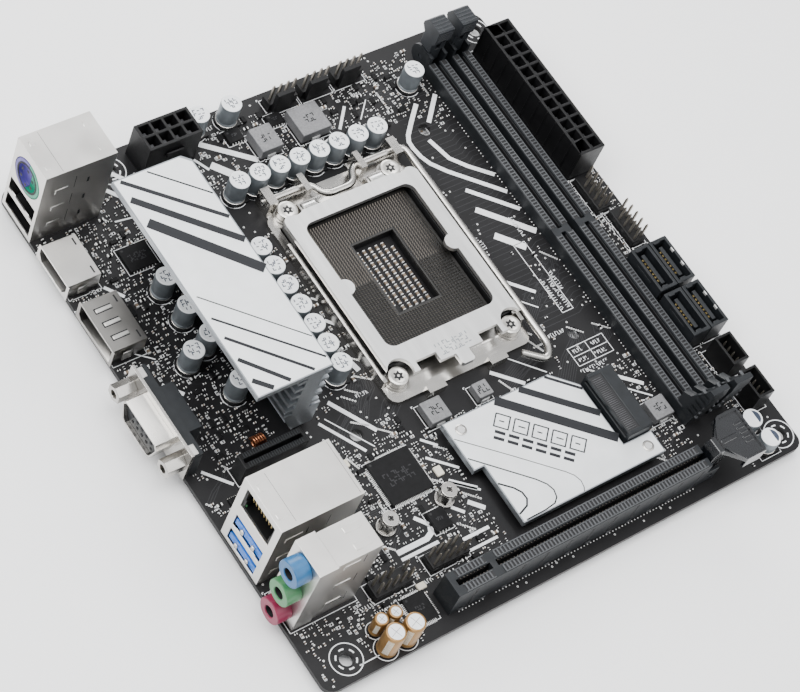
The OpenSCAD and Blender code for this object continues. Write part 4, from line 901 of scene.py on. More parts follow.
def dressMemory():
    for node, latch in (("dimm_socket_a", "dimm_latch_a"), ("dimm_socket_b", "dimm_latch_b")):
        low, high = boxOf(node)
        cx = (low.x + high.x) / 2
        ribs, springs, wells, tails = Heap(), Heap(), Heap(), Heap()
        top = memorySet["top"]
        for side in (-1, 1):
            for y0, y1 in memorySet["spans"]:
                x0, x1 = sorted((cx + side * 1.36, cx + side * 2.88))
                wells.block((x0, y0, top - 0.2), (x1, y1, top + 0.02))
        y = 26.2
        while y < memorySet["end"]:
            if abs(y - memorySet["key"]) > memorySet["keyHalf"]:
                for side in (-1, 1):
                    x0, x1 = sorted((cx + side * 1.35, cx + side * 2.95))
                    ribs.block((x0, y - 0.22, top - 0.3), (x1, y + 0.22, top + 0.28), 0, 0.04)
                    spring = cx + side * 0.72
                    springs.block((spring - 0.09, y - 0.16, 2.6), (spring + 0.09, y + 0.16, 4.2))
                    # rounded solder tails at the foot
                    foot = cx + side * 3.45
                    if -0.4 < y % 2.0 - 1.0 < 1.6:
                        tails.block((foot - 0.18, y - 0.16, 0.02), (foot + 0.18, y + 0.16, 0.2), 0, 0.06)
            y += memorySet["ribPitch"]
        for side in (-1, 1):
            for y0, y1 in memorySet["spans"]:
                for reach, half in ((3.0, 0.14), (1.25, 0.12)):
                    x = cx + side * reach
                    ribs.block((x - half, y0, top - 0.4), (x + half, y1, top + 0.3), 0, 0.06)
        # seams and recessed panels on the low end's tower
        for k in range(5):
            z = 6.6 + k * 2.6
            ribs.block((low.x, 19.6, z), (low.x + 0.9, 23.2, z + 0.5), 0, 0.1)
            ribs.block((high.x - 0.9, 19.6, z), (high.x, 23.2, z + 0.5), 0, 0.1)
        # the ribs take the lighter nylon: painted light on their tops
        ribs.make(node + "_ribs", [litRibPlastic], "grey_plastic")
        springs.make(node + "_springs", [contactLeaf], "gold_contact")
        wells.make(node + "_wells", [hollowBlack], "grey_plastic")
        tails.make(node + "_tails", [solder], "pin_tin")
        low, high = boxOf(latch)
        ridges = Heap()
        cx = (low.x + high.x) / 2
        # the head's finger pad with its steps, above the groove for the module
        ridges.block((cx - 1.3, low.y + 0.05, high.z - 4.4), (cx + 1.3, low.y + 3.2, high.z - 0.05), 0, 0.15)
        for k in range(5):
            y = low.y + 0.35 + k * 1.22
            ridges.block((low.x + 0.15, y, high.z - 0.3), (high.x - 0.15, y + 0.62, high.z + 0.24), 0, 0.16)
        for k in range(4):
            z = high.z - 1.5 - k * 0.95
            ridges.block((low.x + 0.4, low.y - 0.14, z), (high.x - 0.4, low.y + 0.2, z + 0.45), 0, 0.1)
        ridges.block((low.x - 0.02, low.y + 0.6, high.z - 5.3), (high.x + 0.02, low.y + 5.8, high.z - 4.7),
                     0, 0.12)
        ridges.make(latch + "_ridges", [latchPlastic], "latch_plastic", body=latch)


dressMemory()


# expansion slot: ribs across the top, side notches, contacts
slotSet = {
    "ribPitch": 1.15,
    "spans": ((44.8, 54.6), (58.0, 130.6)),  # the groove either side of the key
    "end": 130.4,
    "feet": 12,
    "footPitch": 7.4,
}


def dressSlot():
    low, high = boxOf("pcie_slot")
    ribs, springs, wells, tails = Heap(), Heap(), Heap(), Heap()
    cy = (low.y + high.y) / 2
    for side in (-1, 1):
        for x0, x1 in slotSet["spans"]:
            y0, y1 = sorted((cy + side * 1.42, cy + side * 3.24))
            wells.block((x0, y0, high.z - 0.2), (x1, y1, high.z + 0.02))
    x = low.x + 3.4
    count = 0
    while x < slotSet["end"]:
        if not 54.6 < x < 58.0:
            for side in (-1, 1):
                y0, y1 = cy + side * 1.45, cy + side * 3.25
                y0, y1 = sorted((y0, y1))
                ribs.block((x - 0.25, y0, high.z - 0.3), (x + 0.25, y1, high.z + 0.28), 0, 0.04)
                springs.block((x - 0.17, cy + side * 0.72 - 0.1, high.z - 2.0),
                              (x + 0.17, cy + side * 0.72 + 0.1, high.z - 0.4))
            if count % 7 == 3:
                for y in (low.y, high.y):
                    wells.block((x - 0.4, y - 0.05, 0.9), (x + 0.4, y + 0.05, high.z - 1.6))
            for y in (low.y - 0.42, high.y + 0.42):
                tails.block((x - 0.17, y - 0.17, 0.02), (x + 0.17, y + 0.17, 0.24), 0, 0.07)
        x += slotSet["ribPitch"]
        count += 1
    for side in (-1, 1):
        for x0, x1 in slotSet["spans"]:
            for reach, half in ((3.38, 0.14), (1.3, 0.12)):
                y = cy + side * reach
                ribs.block((x0, y - half, high.z - 0.4), (x1, y + half, high.z + 0.3), 0, 0.06)
    # feet along both long sides
    for k in range(slotSet["feet"]):
        x = low.x + 4 + k * slotSet["footPitch"]
        for y in (low.y, high.y):
            ribs.block((x - 0.9, y - 0.25, 0.02), (x + 0.9, y + 0.25, 1.2), 0, 0.2)
    # the ribs take the lighter nylon: painted light on their tops
    ribs.make("expansion_slot_ribs", [litRibPlastic], "grey_plastic")
    springs.make("expansion_slot_springs", [contactLeaf], "gold_contact")
    wells.make("expansion_slot_wells", [hollowBlack], "grey_plastic")
    tails.make("expansion_slot_tails", [solder], "pin_tin")
    low, high = boxOf("pcie_latch")
    ridges = Heap()
    for k in range(5):
        y = 4.4 + k * 1.5
        ridges.block((high.x - 4.6, y, high.z - 0.3), (high.x - 1.2, y + 0.6, high.z + 0.3), 0, 0.12)
    # raised rim round the paddle, and a spine towards the slot
    rim = [(high.x - 11.4, 5.9), (high.x - 8.0, low.y + 0.9), (high.x - 0.7, low.y + 0.9),
           (high.x - 0.7, high.y - 0.9), (high.x - 8.0, high.y - 0.9), (high.x - 11.4, 9.7)]
    ridges.ribbon(rim + rim[:1], 0.7, high.z - 0.1, thick=0.55)
    ridges.block((high.x - 11.6, 7.0, high.z - 0.3), (high.x - 5.6, 8.6, high.z + 0.5), 0, 0.2)
    ridges.make("slot_latch_ridges", [smokePlastic], "smoke_plastic", body="pcie_latch")


dressSlot()


# card sockets: rows of contacts at the mouth and tails at the back
def dressCardSockets():
    tails, frames, leaves, wells = Heap(), Heap(), Heap(), Heap()
    low, high = boxOf("m2_socket")
    y = low.y + 2.0
    while y < high.y - 2.0:
        tails.block((low.x - 0.7, y - 0.12, 0.02), (low.x + 0.05, y + 0.12, 0.22))
        tails.block((high.x - 0.05, y - 0.12, 0.02), (high.x + 0.7, y + 0.12, 0.22))
        leaves.block((low.x + 0.5, y - 0.12, high.z - 0.1), (low.x + 3.6, y + 0.12, high.z + 0.16), 0, 0.05)
        y += 0.62
    frames.block((low.x + 4.4, low.y + 0.3, high.z - 0.3), (high.x - 0.05, high.y - 0.3, high.z + 0.3), 0,
                 0.18)
    wells.block((low.x + 0.15, low.y + 0.5, high.z - 0.2), (low.x + 4.3, high.y - 0.5, high.z + 0.03), 0,
                0.02)
    for y in (low.y + 0.8, high.y - 0.8):
        frames.block((low.x + 0.2, y - 0.55, high.z - 0.3), (high.x - 0.4, y + 0.55, high.z + 0.24), 0, 0.15)
    frames.make("m2_socket_cap", [slatePlastic], "grey_plastic")
    leaves.make("m2_socket_leaves", [darkSteel], "gold_contact")
    wells.make("m2_socket_mouth", [hollowBlack], "grey_plastic")
    low, high = boxOf("wifi_socket")
    x = low.x + 1.6
    teeth = Heap()
    while x < high.x - 1.4:
        tails.block((x - 0.12, low.y - 0.8, 0.02), (x + 0.12, low.y + 0.05, 0.22))
        for y0, y1 in ((low.y + 0.2, low.y + 1.7), (high.y - 1.7, high.y - 0.2)):
            teeth.block((x - 0.15, y0, high.z - 0.2), (x + 0.15, y1, high.z + 0.2), 0, 0.05)
        x += 0.75
    teeth.make("wireless_socket_ribs", [slatePlastic], "black_plastic")
    tails.make("card_socket_tails", [tin], "pin_tin")


dressCardSockets()
print("sockets detailed")


# capacitors: cans with a rolled groove, on a square or round base, with printed tops
canSet = {
    "seat": 0.9,
    "groove": 0.28,
    "markHigh": 0.85,
    "markWide": 0.3,
    "tall": 7,  # anything taller is a tall can
    "tallRadius": 3.15,
    "lowRadius": 3.1,
    "baseCut": 1.1,
}


def drawStrokes(heap, x, y, z, turn, rows, wide, tall, look):
    # short strokes in rows that read as print without saying anything
    s, k = math.sin(math.radians(turn)), math.cos(math.radians(turn))
    for row, count in enumerate(rows):
        for i in range(count):
            u = (i - (count - 1) / 2) * wide
            v = ((len(rows) - 1) / 2 - row) * tall * 1.45
            shape = draw.choice([[(0, 0), (0, 1)], [(0, 1), (0, 0), (1, 0)], [(0, 0), (0, 1), (1, 1)],
                                 [(0, 0), (1, 0), (1, 1)], [(0, 0.5), (1, 0.5)], [(0, 1), (1, 1), (1, 0)]])
            points = []
            for a, b in shape:
                p, q = u + (a - 0.5) * wide * 0.62, v + (b - 0.5) * tall
                points.append((x + p * k - q * s, y + p * s + q * k))
            heap.ribbon(points, canSet["markWide"], z, look, thick=0.02)


def makeCans():
    cans, bases, tops, feet = Heap(), Heap(), Heap(), Heap()
    for low, high in solidsOf("polymer_caps") + solidsOf("low_caps"):
        x, y = middleOf(low, high)
        h = high.z
        r = canSet["tallRadius"] if h > canSet["tall"] else canSet["lowRadius"]
        seat = canSet["seat"]
        cut = canSet["baseCut"]
        x0, y0, x1, y1 = low.x, low.y, high.x, high.y
        bases.slab([(x0 + cut, y0), (x1, y0), (x1, y1), (x0 + cut, y1), (x0, y1 - cut), (x0, y0 + cut)],
                   0.02, seat)
        g = canSet["groove"]
        feet.lathe(x, y, [(r + 0.12, seat - 0.02), (r + 0.14, seat + 0.2), (r - 0.2, seat + 0.34)], 32)
        cans.lathe(x, y, [(r - 0.15, seat), (r, seat + 0.15), (r, seat + 0.7), (r - g, seat + 1.0),
                          (r - g, seat + 1.25), (r, seat + 1.55), (r, h - 0.35), (r - 0.1, h - 0.12),
                          (r - 0.32, h - 0.02, 1), (r - 0.5, h - 0.02, 1), (r - 0.6, h - 0.07, 1)], sides=36)
        if h > canSet["tall"]:
            drawStrokes(tops, x, y, h - 0.07, -8, (3, 3, 2), 1.25, canSet["markHigh"], 0)
        else:
            tops.slab([(x + 0.2 + 2.3 * math.cos(math.radians(a)), y + 2.3 * math.sin(math.radians(a)))
                       for a in range(-70, 71, 14)], h - 0.07, h - 0.045)
    cans.make("polymer_cans", [canSide, canTop], "cap_can", instead=("polymer_caps", "low_caps"))
    bases.make("capacitor_bases", [darkPlastic], "black_plastic", bevel=0.08, steps=1)
    tops.make("can_top_print", [inkBlue], "cap_can")
    feet.make("can_foot_rings", [nickel], "cap_can")
    gilt, caps = Heap(), Heap()
    for low, high in solidsOf("audio_caps"):
        x, y = middleOf(low, high)
        h = high.z
        r = (high.x - low.x) / 2
        gilt.lathe(x, y, [(r - 0.2, 0.05, 2), (r - 0.05, 0.3), (r, 0.5), (r, 0.95), (r - 0.22, 1.2),
                          (r - 0.22, 1.4), (r, 1.7), (r, h - 0.5), (r - 0.12, h - 0.15), (r - 0.4, h - 0.02),
                          (r - 0.62, h - 0.04), (r - 0.72, h - 0.14, 1)], sides=36)
        # a cross scored in the top, and a pale stripe down one side
        for turn in (20, 110):
            a = math.radians(turn)
            d = r - 1.0
            u, v = d * math.cos(a), d * math.sin(a)
            caps.ribbon([(x - u, y - v), (x + u, y + v)], 0.1, h - 0.15, 0, thick=0.03)
        for k in range(6):
            a = math.radians(200 + k * 6)
            px, py = x + (r - 0.02) * math.cos(a), y + (r - 0.02) * math.sin(a)
            caps.rod((px, py, 2.2), (px, py, h - 1.2), 0.12, 6, 1)
    gilt.make("audio_cans", [goldFilm, canTop, hollowBlack], "audio_can", instead=("audio_caps",))
    caps.make("audio_can_marks", [darkSteel, creamCeramic], "audio_can")


makeCans()


# chip leads, pin-one dots and faint top print; pads under the coils
def dressChips():
    leads, dots, prints = Heap(), Heap(), Heap()
    for low, high in solidsOf("chips"):
        wide, deep = high.x - low.x, high.y - low.y
        cx, cy = middleOf(low, high)
        square = min(wide, deep) > 6 and high.z > 1.2
        pitch = 0.5 if square else 1.0
        reach = 0.95 if square else 0.55
        for side in (-1, 1):
            edge = low.y if side < 0 else high.y
            t = low.x + 0.9
            while t < high.x - 0.8:
                for z0, z1, a, b in ((0.42, 0.58, 0.0, 0.5), (0.04, 0.2, 0.42, 1.0)):
                    y0, y1 = edge + side * (a * reach - 0.02), edge + side * b * reach
                    leads.block((t - 0.11, min(y0, y1), z0), (t + 0.11, max(y0, y1), z1))
                leads.block((t - 0.11, edge + side * reach * 0.46 - 0.07, 0.06),
                            (t + 0.11, edge + side * reach * 0.46 + 0.07, 0.56))
                t += pitch
            edge = low.x if side < 0 else high.x
            t = low.y + 0.9
            while t < high.y - 0.8 and square:
                for z0, z1, a, b in ((0.42, 0.58, 0.0, 0.5), (0.04, 0.2, 0.42, 1.0)):
                    x0, x1 = edge + side * (a * reach - 0.02), edge + side * b * reach
                    leads.block((min(x0, x1), t - 0.11, z0), (max(x0, x1), t + 0.11, z1))
                leads.block((edge + side * reach * 0.46 - 0.07, t - 0.11, 0.06),
                            (edge + side * reach * 0.46 + 0.07, t + 0.11, 0.56))
                t += pitch
        dots.lathe(low.x + 1.0, high.y - 1.0,
                   [(0.42, high.z - 0.02), (0.36, high.z + 0.01), (0.05, high.z + 0.012)], 16)
        rows = (7, 5, 6) if wide > 8 else (4, 3)
        drawStrokes(prints, cx, cy, high.z, 0, rows, wide / 10, wide / 14, 0)
    leads.make("chip_leads", [solder], "pin_tin")
    dots.make("pin_one_dots", [hollowBlack], "chip_black")
    prints.make("chip_print", [maskTrack], "chip_black")
    pads, marks = Heap(), Heap()
    for low, high in solidsOf("inductors"):
        cx, cy = middleOf(low, high)
        for side in (-1, 1):
            y = low.y if side < 0 else high.y
            pads.block((cx - 1.4, y - 0.3, 0.02), (cx + 1.4, y + 0.3, 1.3), 0, 0.1)
        drawStrokes(marks, cx, cy, high.z, 0, (3, 3), 1.3, 1.0, 0)
    pads.make("coil_pads", [solder], "inductor_grey")
    marks.make("coil_marks", [epoxy], "inductor_grey")


dressChips()


# header pins with pointed tips, and what holds the plugs
headerSet = {
    "pitch": 2.54,
    "powerPitch": 4.2,
    "drivePitch": 1.27,
}


def makePins():
    pins = Heap()
    for low, high in solidsOf("header_pins"):
        c = min(high.x - low.x, high.y - low.y) * 0.32
        cx, cy = middleOf(low, high)
        w = (high.x - low.x) / 2
        points = []
        for z, r in ((low.z, w), (high.z - 0.8, w), (high.z, w - c)):
            points += [(cx - r, cy - r, z), (cx + r, cy - r, z), (cx + r, cy + r, z), (cx - r, cy + r, z)]
        pins.stack(points, 4, 3)
    pins.make("pointed_pins", [pinTin], "pin_tin", instead=("header_pins",))
    ridges = Heap()
    for low, high in solidsOf("pin_headers"):
        for k in range(1, 5):
            if high.x - low.x > high.y - low.y:
                t = low.x + k * headerSet["pitch"]
                ridges.block((t - 0.22, low.y - 0.02, 0.3), (t + 0.22, low.y + 0.25, 2.3))
                ridges.block((t - 0.22, high.y - 0.25, 0.3), (t + 0.22, high.y + 0.02, 2.3))
            else:
                t = low.y + k * headerSet["pitch"]
                ridges.block((low.x - 0.02, t - 0.22, 0.3), (low.x + 0.25, t + 0.22, 2.3))
                ridges.block((high.x - 0.25, t - 0.22, 0.3), (high.x + 0.02, t + 0.22, 2.3))
    ridges.make("header_notches", [hollowBlack], "black_plastic")
    # clip rails on the power headers
    rails = Heap()
    low, high = boxOf("atx24_header")
    mid = (low.y + high.y) / 2
    rails.block((high.x - 0.02, mid - 3.2, 7.6), (min(high.x + 1.0, boardX + 3), mid + 3.2, 9.4), 0, 0.3)
    for k in (-1, 1):
        y = mid + k * 2.9
        rails.block((high.x - 0.02, y - 0.35, 0.4), (high.x + 0.7, y + 0.35, 7.6), 0, 0.15)
    for k in range(13):
        y = low.y + 0.5 + k * headerSet["powerPitch"]
        rails.block((low.x - 0.14, y - 0.28, 0.3), (low.x + 0.02, y + 0.28, high.z - 0.4), 0, 0.05)
    low, high = boxOf("atx8_header")
    mid = (low.x + high.x) / 2
    rails.block((mid - 2.9, low.y - 0.9, 7.6), (mid + 2.9, low.y + 0.02, 9.4), 0, 0.3)
    for k in range(5):
        x = low.x + 0.5 + k * headerSet["powerPitch"]
        rails.block((x - 0.28, high.y - 0.02, 0.3), (x + 0.28, high.y + 0.14, high.z - 0.4), 0, 0.05)
    rails.make("power_header_rails", [darkPlastic], "black_plastic")
    # lips, clip windows and end walls on the drive ports
    lips, inner, clips = Heap(), Heap(), Heap()
    for low, high in solidsOf("sata_ports"):
        for y in (low.y + 0.2, high.y - 1.4):
            lips.block((low.x + 1.3, y, high.z - 0.1), (low.x + 3.4, y + 1.2, high.z + 0.16), 0, 0.1)
        lips.block((low.x - 0.12, low.y + 4.2, high.z - 2.6), (low.x + 0.02, high.y - 4.2, high.z - 1.4), 0,
                   0.05)
        if low.x > 160:
            for y in (low.y + 4.6, high.y - 5.6):
                clips.block((high.x - 1.1, y, high.z - 0.9), (high.x - 0.8, y + 1.4, high.z + 0.05), 0, 0.05)
        inner.block((low.x + 0.25, low.y + 5.0, high.z - 0.02), (low.x + 0.8, high.y - 5.0, high.z + 0.03))
        for k in range(7):
            y = low.y + 3.9 + k * headerSet["drivePitch"]
            lips.block((low.x + 3.85, y - 0.17, 2.1), (low.x + 4.1, y + 0.17, high.z - 1.2))
    lips.make("drive_port_lips", [slatePlastic], "grey_plastic")
    inner.make("drive_port_slits", [hollowBlack], "grey_plastic")
    clips.make("drive_port_clips", [solder], "gold_contact")


makePins()
print("small parts on top detailed")


# rear connectors: seams, spring tabs and punched windows in the folded steel
shellSet = {
    "seam": 0.09,
    "raise": 0.02,  # how far a dark seam stands off its sheet
    "wirePitch": 1.2,
    "videoMiddle": (85.5, 6.3),
    "videoPitch": 2.3,
    "roundMiddle": (159.6, 21.2),
    "portFloors": (2.2, 9.8),
}


def dressShells():
    tabs, dark, lamps, wires, steps, backs, springs = [Heap() for _ in range(7)]
    up = shellSet["raise"]
    # digital video shells: three long spring tabs and stamped slots on each roof
    for node, count in (("displayport_shell", 3), ("hdmi_shell", 0)):
        low, high = boxOf(node)
        span = high.y - low.y
        for k in range(count):
            y = low.y + span * (k + 1) / (count + 1)
            x0, x1 = low.x + 2.2, low.x + 7.4
            for shift in (-0.75, 0.75):
                dark.ribbon([(x0, y + shift), (x1, y + shift)], 0.34, high.z, thick=up)
            dark.ribbon([(x0, y - 0.9), (x0, y + 0.9)], 0.34, high.z, thick=up)
            tabs.block((x0 + 0.3, y - 0.55, high.z - 0.05), (x1, y + 0.55, high.z + 0.14), 0, 0.1)
        dark.ribbon([(high.x - 1.6, low.y + 1.8), (high.x - 1.6, low.y + 4.2)], 0.5, high.z, thick=up)
        dark.ribbon([(high.x - 1.6, high.y - 1.8), (high.x - 1.6, high.y - 4.2)], 0.5, high.z, thick=up)
        for y in (low.y + 0.02, high.y - 0.02):
            tabs.block((low.x + 3.4, y - 0.16, 1.6), (low.x + 6.4, y + 0.16, high.z - 1.6), 0, 0.1)
    # network shell: seams and stamped dimples on roof and walls
    low, high = boxOf("lan_usb3_shell")
    for x, y0, y1 in ((low.x + 5.2, low.y + 1.2, high.y - 1.2), (high.x - 1.1, low.y + 0.6, high.y - 0.6)):
        dark.ribbon([(x, y0), (x, y1)], shellSet["seam"], high.z, thick=up)
    for y in (low.y + 4.4, high.y - 4.4):
        tabs.block((low.x + 1.2, y - 1.1, high.z - 0.06), (low.x + 4.4, y + 1.1, high.z + 0.1), 0, 0.1)
    for z in (4.0, 11.6, 21.5):
        for y, side in ((low.y, -1), (high.y, 1)):
            a, b = sorted((y - side * 0.05, y + side * 0.14))
            tabs.block((low.x + 3.0, a, z), (low.x + 8.4, b, z + 1.7), 0, 0.1)
            a, b = sorted((y, y + side * 0.05))
            dark.block((low.x + 9.6, a, z + 0.2), (low.x + 9.9, b, z + 3.2))
            dark.block((low.x + 16.4, a, z - 1.2), (low.x + 16.52, b, z + 4.2))
    # link lamps either side of the plug's latch
    for y, look in ((low.y + 3.0, 0), (high.y - 3.0, 1)):
        lamps.block((low.x + 0.9, y - 0.6, 18.7), (low.x + 1.3, y + 0.6, 19.6), look, 0.1)
    # the plug's wires slope down into the socket from under its roof
    for k in range(8):
        y = (low.y + high.y) / 2 + (k - 3.5) * shellSet["wirePitch"]
        wires.rod((low.x + 0.7, y, 27.0), (low.x + 1.7, y, 22.8), 0.22, 8)
    # steps at both sides of the socket's mouth
    for side in (-1, 1):
        y = (low.y + high.y) / 2 + side * 6.1
        steps.block((low.x + 0.5, y - 0.6, 18.3), (low.x + 3.0, y + 0.6, 22.0), 0, 0.1)
    # springs and blue backs in the data ports
    for z in shellSet["portFloors"]:
        cy = (low.y + high.y) / 2
        backs.block((low.x + 0.55, cy - 6.2, z - 0.6), (low.x + 1.3, cy + 6.2, z + 1.9), 0, 0.1)
        for k in (-1, 1):
            y = cy + k * 2.6
            springs.block((low.x + 0.1, y - 0.7, z - 0.7), (low.x + 0.6, y + 0.7, z + 0.9), 0, 0.12)
    # front faces: spring fingers round each opening
    for node in ("lan_usb3_shell", "ps2_usb_shell"):
        low, high = boxOf(node)
        cy = (low.y + high.y) / 2
        for z in shellSet["portFloors"]:
            for k in (-1, 1):
                y = cy + k * 3.6
                tabs.block((low.x - 0.1, y - 1.0, z - 0.95), (low.x + 0.1, y + 1.0, z - 0.45), 0, 0.06)
    # keyboard shell: stamped square and slots on its roof, seams down its walls
    low, high = boxOf("ps2_usb_shell")
    dark.ribbon([(low.x + 5.6, low.y + 0.6), (low.x + 5.6, high.y - 0.6)], shellSet["seam"], high.z,
                thick=up)
    for x in (low.x + 2.4, high.x - 3.2):
        for y in (low.y + 3.2, high.y - 3.2):
            tabs.block((x - 0.8, y - 0.8, high.z - 0.05), (x + 0.8, y + 0.8, high.z + 0.09), 0, 0.08)
    for z in (5.4, 13.0, 21.0):
        for y, side in ((low.y, -1), (high.y, 1)):
            a, b = sorted((y - side * 0.05, y + side * 0.13))
            tabs.block((low.x + 4.2, a, z), (low.x + 8.2, b, z + 1.8), 0, 0.1)
            a, b = sorted((y, y + side * 0.05))
            dark.block((low.x + 10.2, a, z), (low.x + 10.32, b, z + 5.2))
            dark.block((low.x + 14.2, a, z + 0.4), (low.x + 14.9, b, z + 2.4))
    # audio shield: folded clips and seams
    low, high = boxOf("audio_shield")
    dark.ribbon([(low.x + 6.1, low.y + 0.7), (low.x + 6.1, high.y - 0.7)], 0.14, high.z - 0.4, thick=up)
    for z in (6.0, 16.6, 27.0):
        for y, side in ((low.y + 0.5, -1), (high.y - 0.5, 1)):
            a, b = sorted((y - side * 0.05, y + side * 0.13))
            tabs.block((low.x + 9.0, a, z - 1.0), (low.x + 14.0, b, z + 1.0), 0, 0.12)
            a, b = sorted((y, y + side * 0.05))
            dark.block((low.x + 15.6, a, z - 1.6), (low.x + 15.75, b, z + 2.2))
    tabs.block((high.x - 7.4, low.y + 2.2, high.z - 0.5), (high.x - 2.4, low.y + 4.2, high.z - 0.24), 0,
               0.08)
    tabs.block((high.x - 7.4, high.y - 4.2, high.z - 0.5), (high.x - 2.4, high.y - 2.2, high.z - 0.24), 0,
               0.08)
    # video socket: rows of contact holes in the insulator, pressed rim on the plate
    cy, cz = shellSet["videoMiddle"]
    for row in range(3):
        for k in range(5):
            y = cy + (k - 2) * shellSet["videoPitch"] + (row - 1) * 0.6
            z = cz + (row - 1) * 1.98
            dark.lathe(0, 0, [(0.46, -5.72), (0.44, -5.62), (0.2, -5.615)], 12,
                       flip=facing(y, z))
    for k in (-1, 1):
        tabs.block((0.0, cy + k * 13.0 - 1.6, 10.8), (2.2, cy + k * 13.0 + 1.6, 11.2), 0, 0.1)
    tabs.make("shell_tabs", [shellSteel], "nickel_steel")
    dark.make("shell_seams", [hollowBlack], "nickel_steel")
    lamps.make("link_lamps", [goldFilm, jackGreen], "nickel_steel")
    wires.make("network_wires", [gold], "gold_contact")
    steps.make("network_socket_steps", [darkPlastic], "black_plastic")
    backs.make("data_port_backs", [blue], "blue_plastic")
    springs.make("data_port_springs", [nickel], "nickel_steel")
    # dark sleeves in the audio bores, and the round port's ring of pin holes
    sleeves = Heap()
    for node in ("audio_jack_blue", "audio_jack_green", "audio_jack_pink"):
        low, high = boxOf(node)
        y, z = (low.y + high.y) / 2, (low.z + high.z) / 2
        sleeves.lathe(0, 0, [(1.79, -3.1), (1.79, 9.8), (0.05, 9.8), (0.05, 9.6), (1.7, 9.6), (1.7, -3.1)],
                      28,
                      flip=facing(y, z), tube=True)
    sleeves.make("audio_sleeves", [hollowBlack], "black_plastic")
    pinHoles, rim = Heap(), Heap()
    y, z = shellSet["roundMiddle"]
    for angle in (30, 90, 150, 210, 330, 270):
        a = math.radians(angle)
        u, v = 2.9 * math.cos(a), 2.9 * math.sin(a)
        pinHoles.lathe(0, 0, [(0.55, -0.33), (0.5, -0.36), (0.1, -0.365)], 14,
                       flip=facing(y + u, z + v))
    rim.lathe(0, 0, [(4.9, -0.36), (4.9, -0.2), (4.3, -0.2), (4.3, -0.36)], 40, flip=facing(y, z), tube=True)
    pinHoles.make("round_port_pin_holes", [hollowBlack], "black_plastic")
    rim.make("round_port_rim", [hollowBlack], "black_plastic")
    # contacts on the tongues of the data ports
    fingers = Heap()
    for node in ("usb3_inserts", "usb2_inserts"):
        low, high = boxOf(node)
        cy = (low.y + high.y) / 2
        for z in (4.9, 12.5):
            for k in range(4):
                y = cy + (k - 1.5) * 2.3
                fingers.block((low.x + 0.6, y - 0.5, z - 0.72), (low.x + 7.0, y + 0.5, z - 0.55), 0, 0.04)
    fingers.make("data_port_fingers", [gold], "gold_contact")


dressShells()


# socket hardware: recesses in the screw heads, stamped strokes on the load plate, the bent lever
loaderSet = {
    "middle": (89.3, 99.6),
    # the lever's route about that middle: crank under the plate's tab, long arm, hooked handle
    "leverRoute": [(-24.2, 35.3), (-7.3, 35.3), (-4.9, 30.0), (5.2, 30.0), (7.6, 35.3), (26.7, 35.3),
                   (26.7, -40.4), (23.7, -44.0), (17.7, -38.8)],
    "leverRadius": 1.15,
    "leverHigh": 4.0,
    "leverBend": 3.2,
    "stamp": (88.6, 70.8),
}


def dressLoader():
    recess, rims = Heap(), Heap()
    for low, high in solidsOf("socket_screws"):
        x, y = middleOf(low, high)
        top = high.z
        rims.lathe(x, y, [(3.0, top - 0.3), (2.95, top + 0.02), (2.6, top + 0.16), (2.1, top + 0.18),
                          (1.75, top + 0.02), (0.4, top)], 36)
        star = []
        for k in range(24):
            a = 2 * math.pi * k / 24
            r = 1.55 if k % 4 in (0, 1) else 1.05
            star.append((x + r * math.cos(a), y + r * math.sin(a)))
        recess.slab(star, top, top + 0.035)
        rims.lathe(x, y, [(0.42, top - 0.05), (0.4, top + 0.09), (0.2, top + 0.12)], 14)
    rims.make("socket_screw_rims", [tin], "black_steel")
    recess.make("socket_screw_recesses", [hollowBlack], "black_steel")
    cross = Heap()
    for low, high in solidsOf("m2_screws"):
        x, y = middleOf(low, high)
        for turn in (15, 105):
            a = math.radians(turn)
            u, v = 0.95 * math.cos(a), 0.95 * math.sin(a)
            cross.ribbon([(x - u, y - v), (x + u, y + v)], 0.36, high.z, 0, thick=0.03)
    cross.make("card_screw_crosses", [hollowBlack], "nickel_steel")
    # one smooth bent wire for the lever
    lever = Heap()
    sx, sy = loaderSet["middle"]
    lever.wire([(sx + x, sy + y) for x, y in loaderSet["leverRoute"]], loaderSet["leverHigh"],
               loaderSet["leverRadius"], loaderSet["leverBend"])
    lever.make("bent_lever", [nickel], "nickel_steel", body="load_lever", instead=("load_lever",))
    # stamped rows on the plate's lower bar
    stamped = Heap()
    low, high = boxOf("load_plate")
    drawStrokes(stamped, *loaderSet["stamp"], high.z, 0, (9, 7, 8), 1.35, 1.0, 0)
    stamped.make("plate_stamps", [shadeAndStampSilver], "stamped_steel", body="load_plate")
    # rivets on the chipset plate
    studs = Heap()
    for low, high in solidsOf("chipset_heatsink_pins"):
        x, y = middleOf(low, high)
        studs.lathe(x, y, [(1.75, 4.82), (1.72, 5.0), (1.45, 5.12), (1.1, 5.13), (0.95, 5.02), (0.3, 5.02)],
                    30)
    studs.make("spring_pin_heads", [nickel], "stamped_steel")


dressLoader()
print("rear connectors and socket hardware detailed")


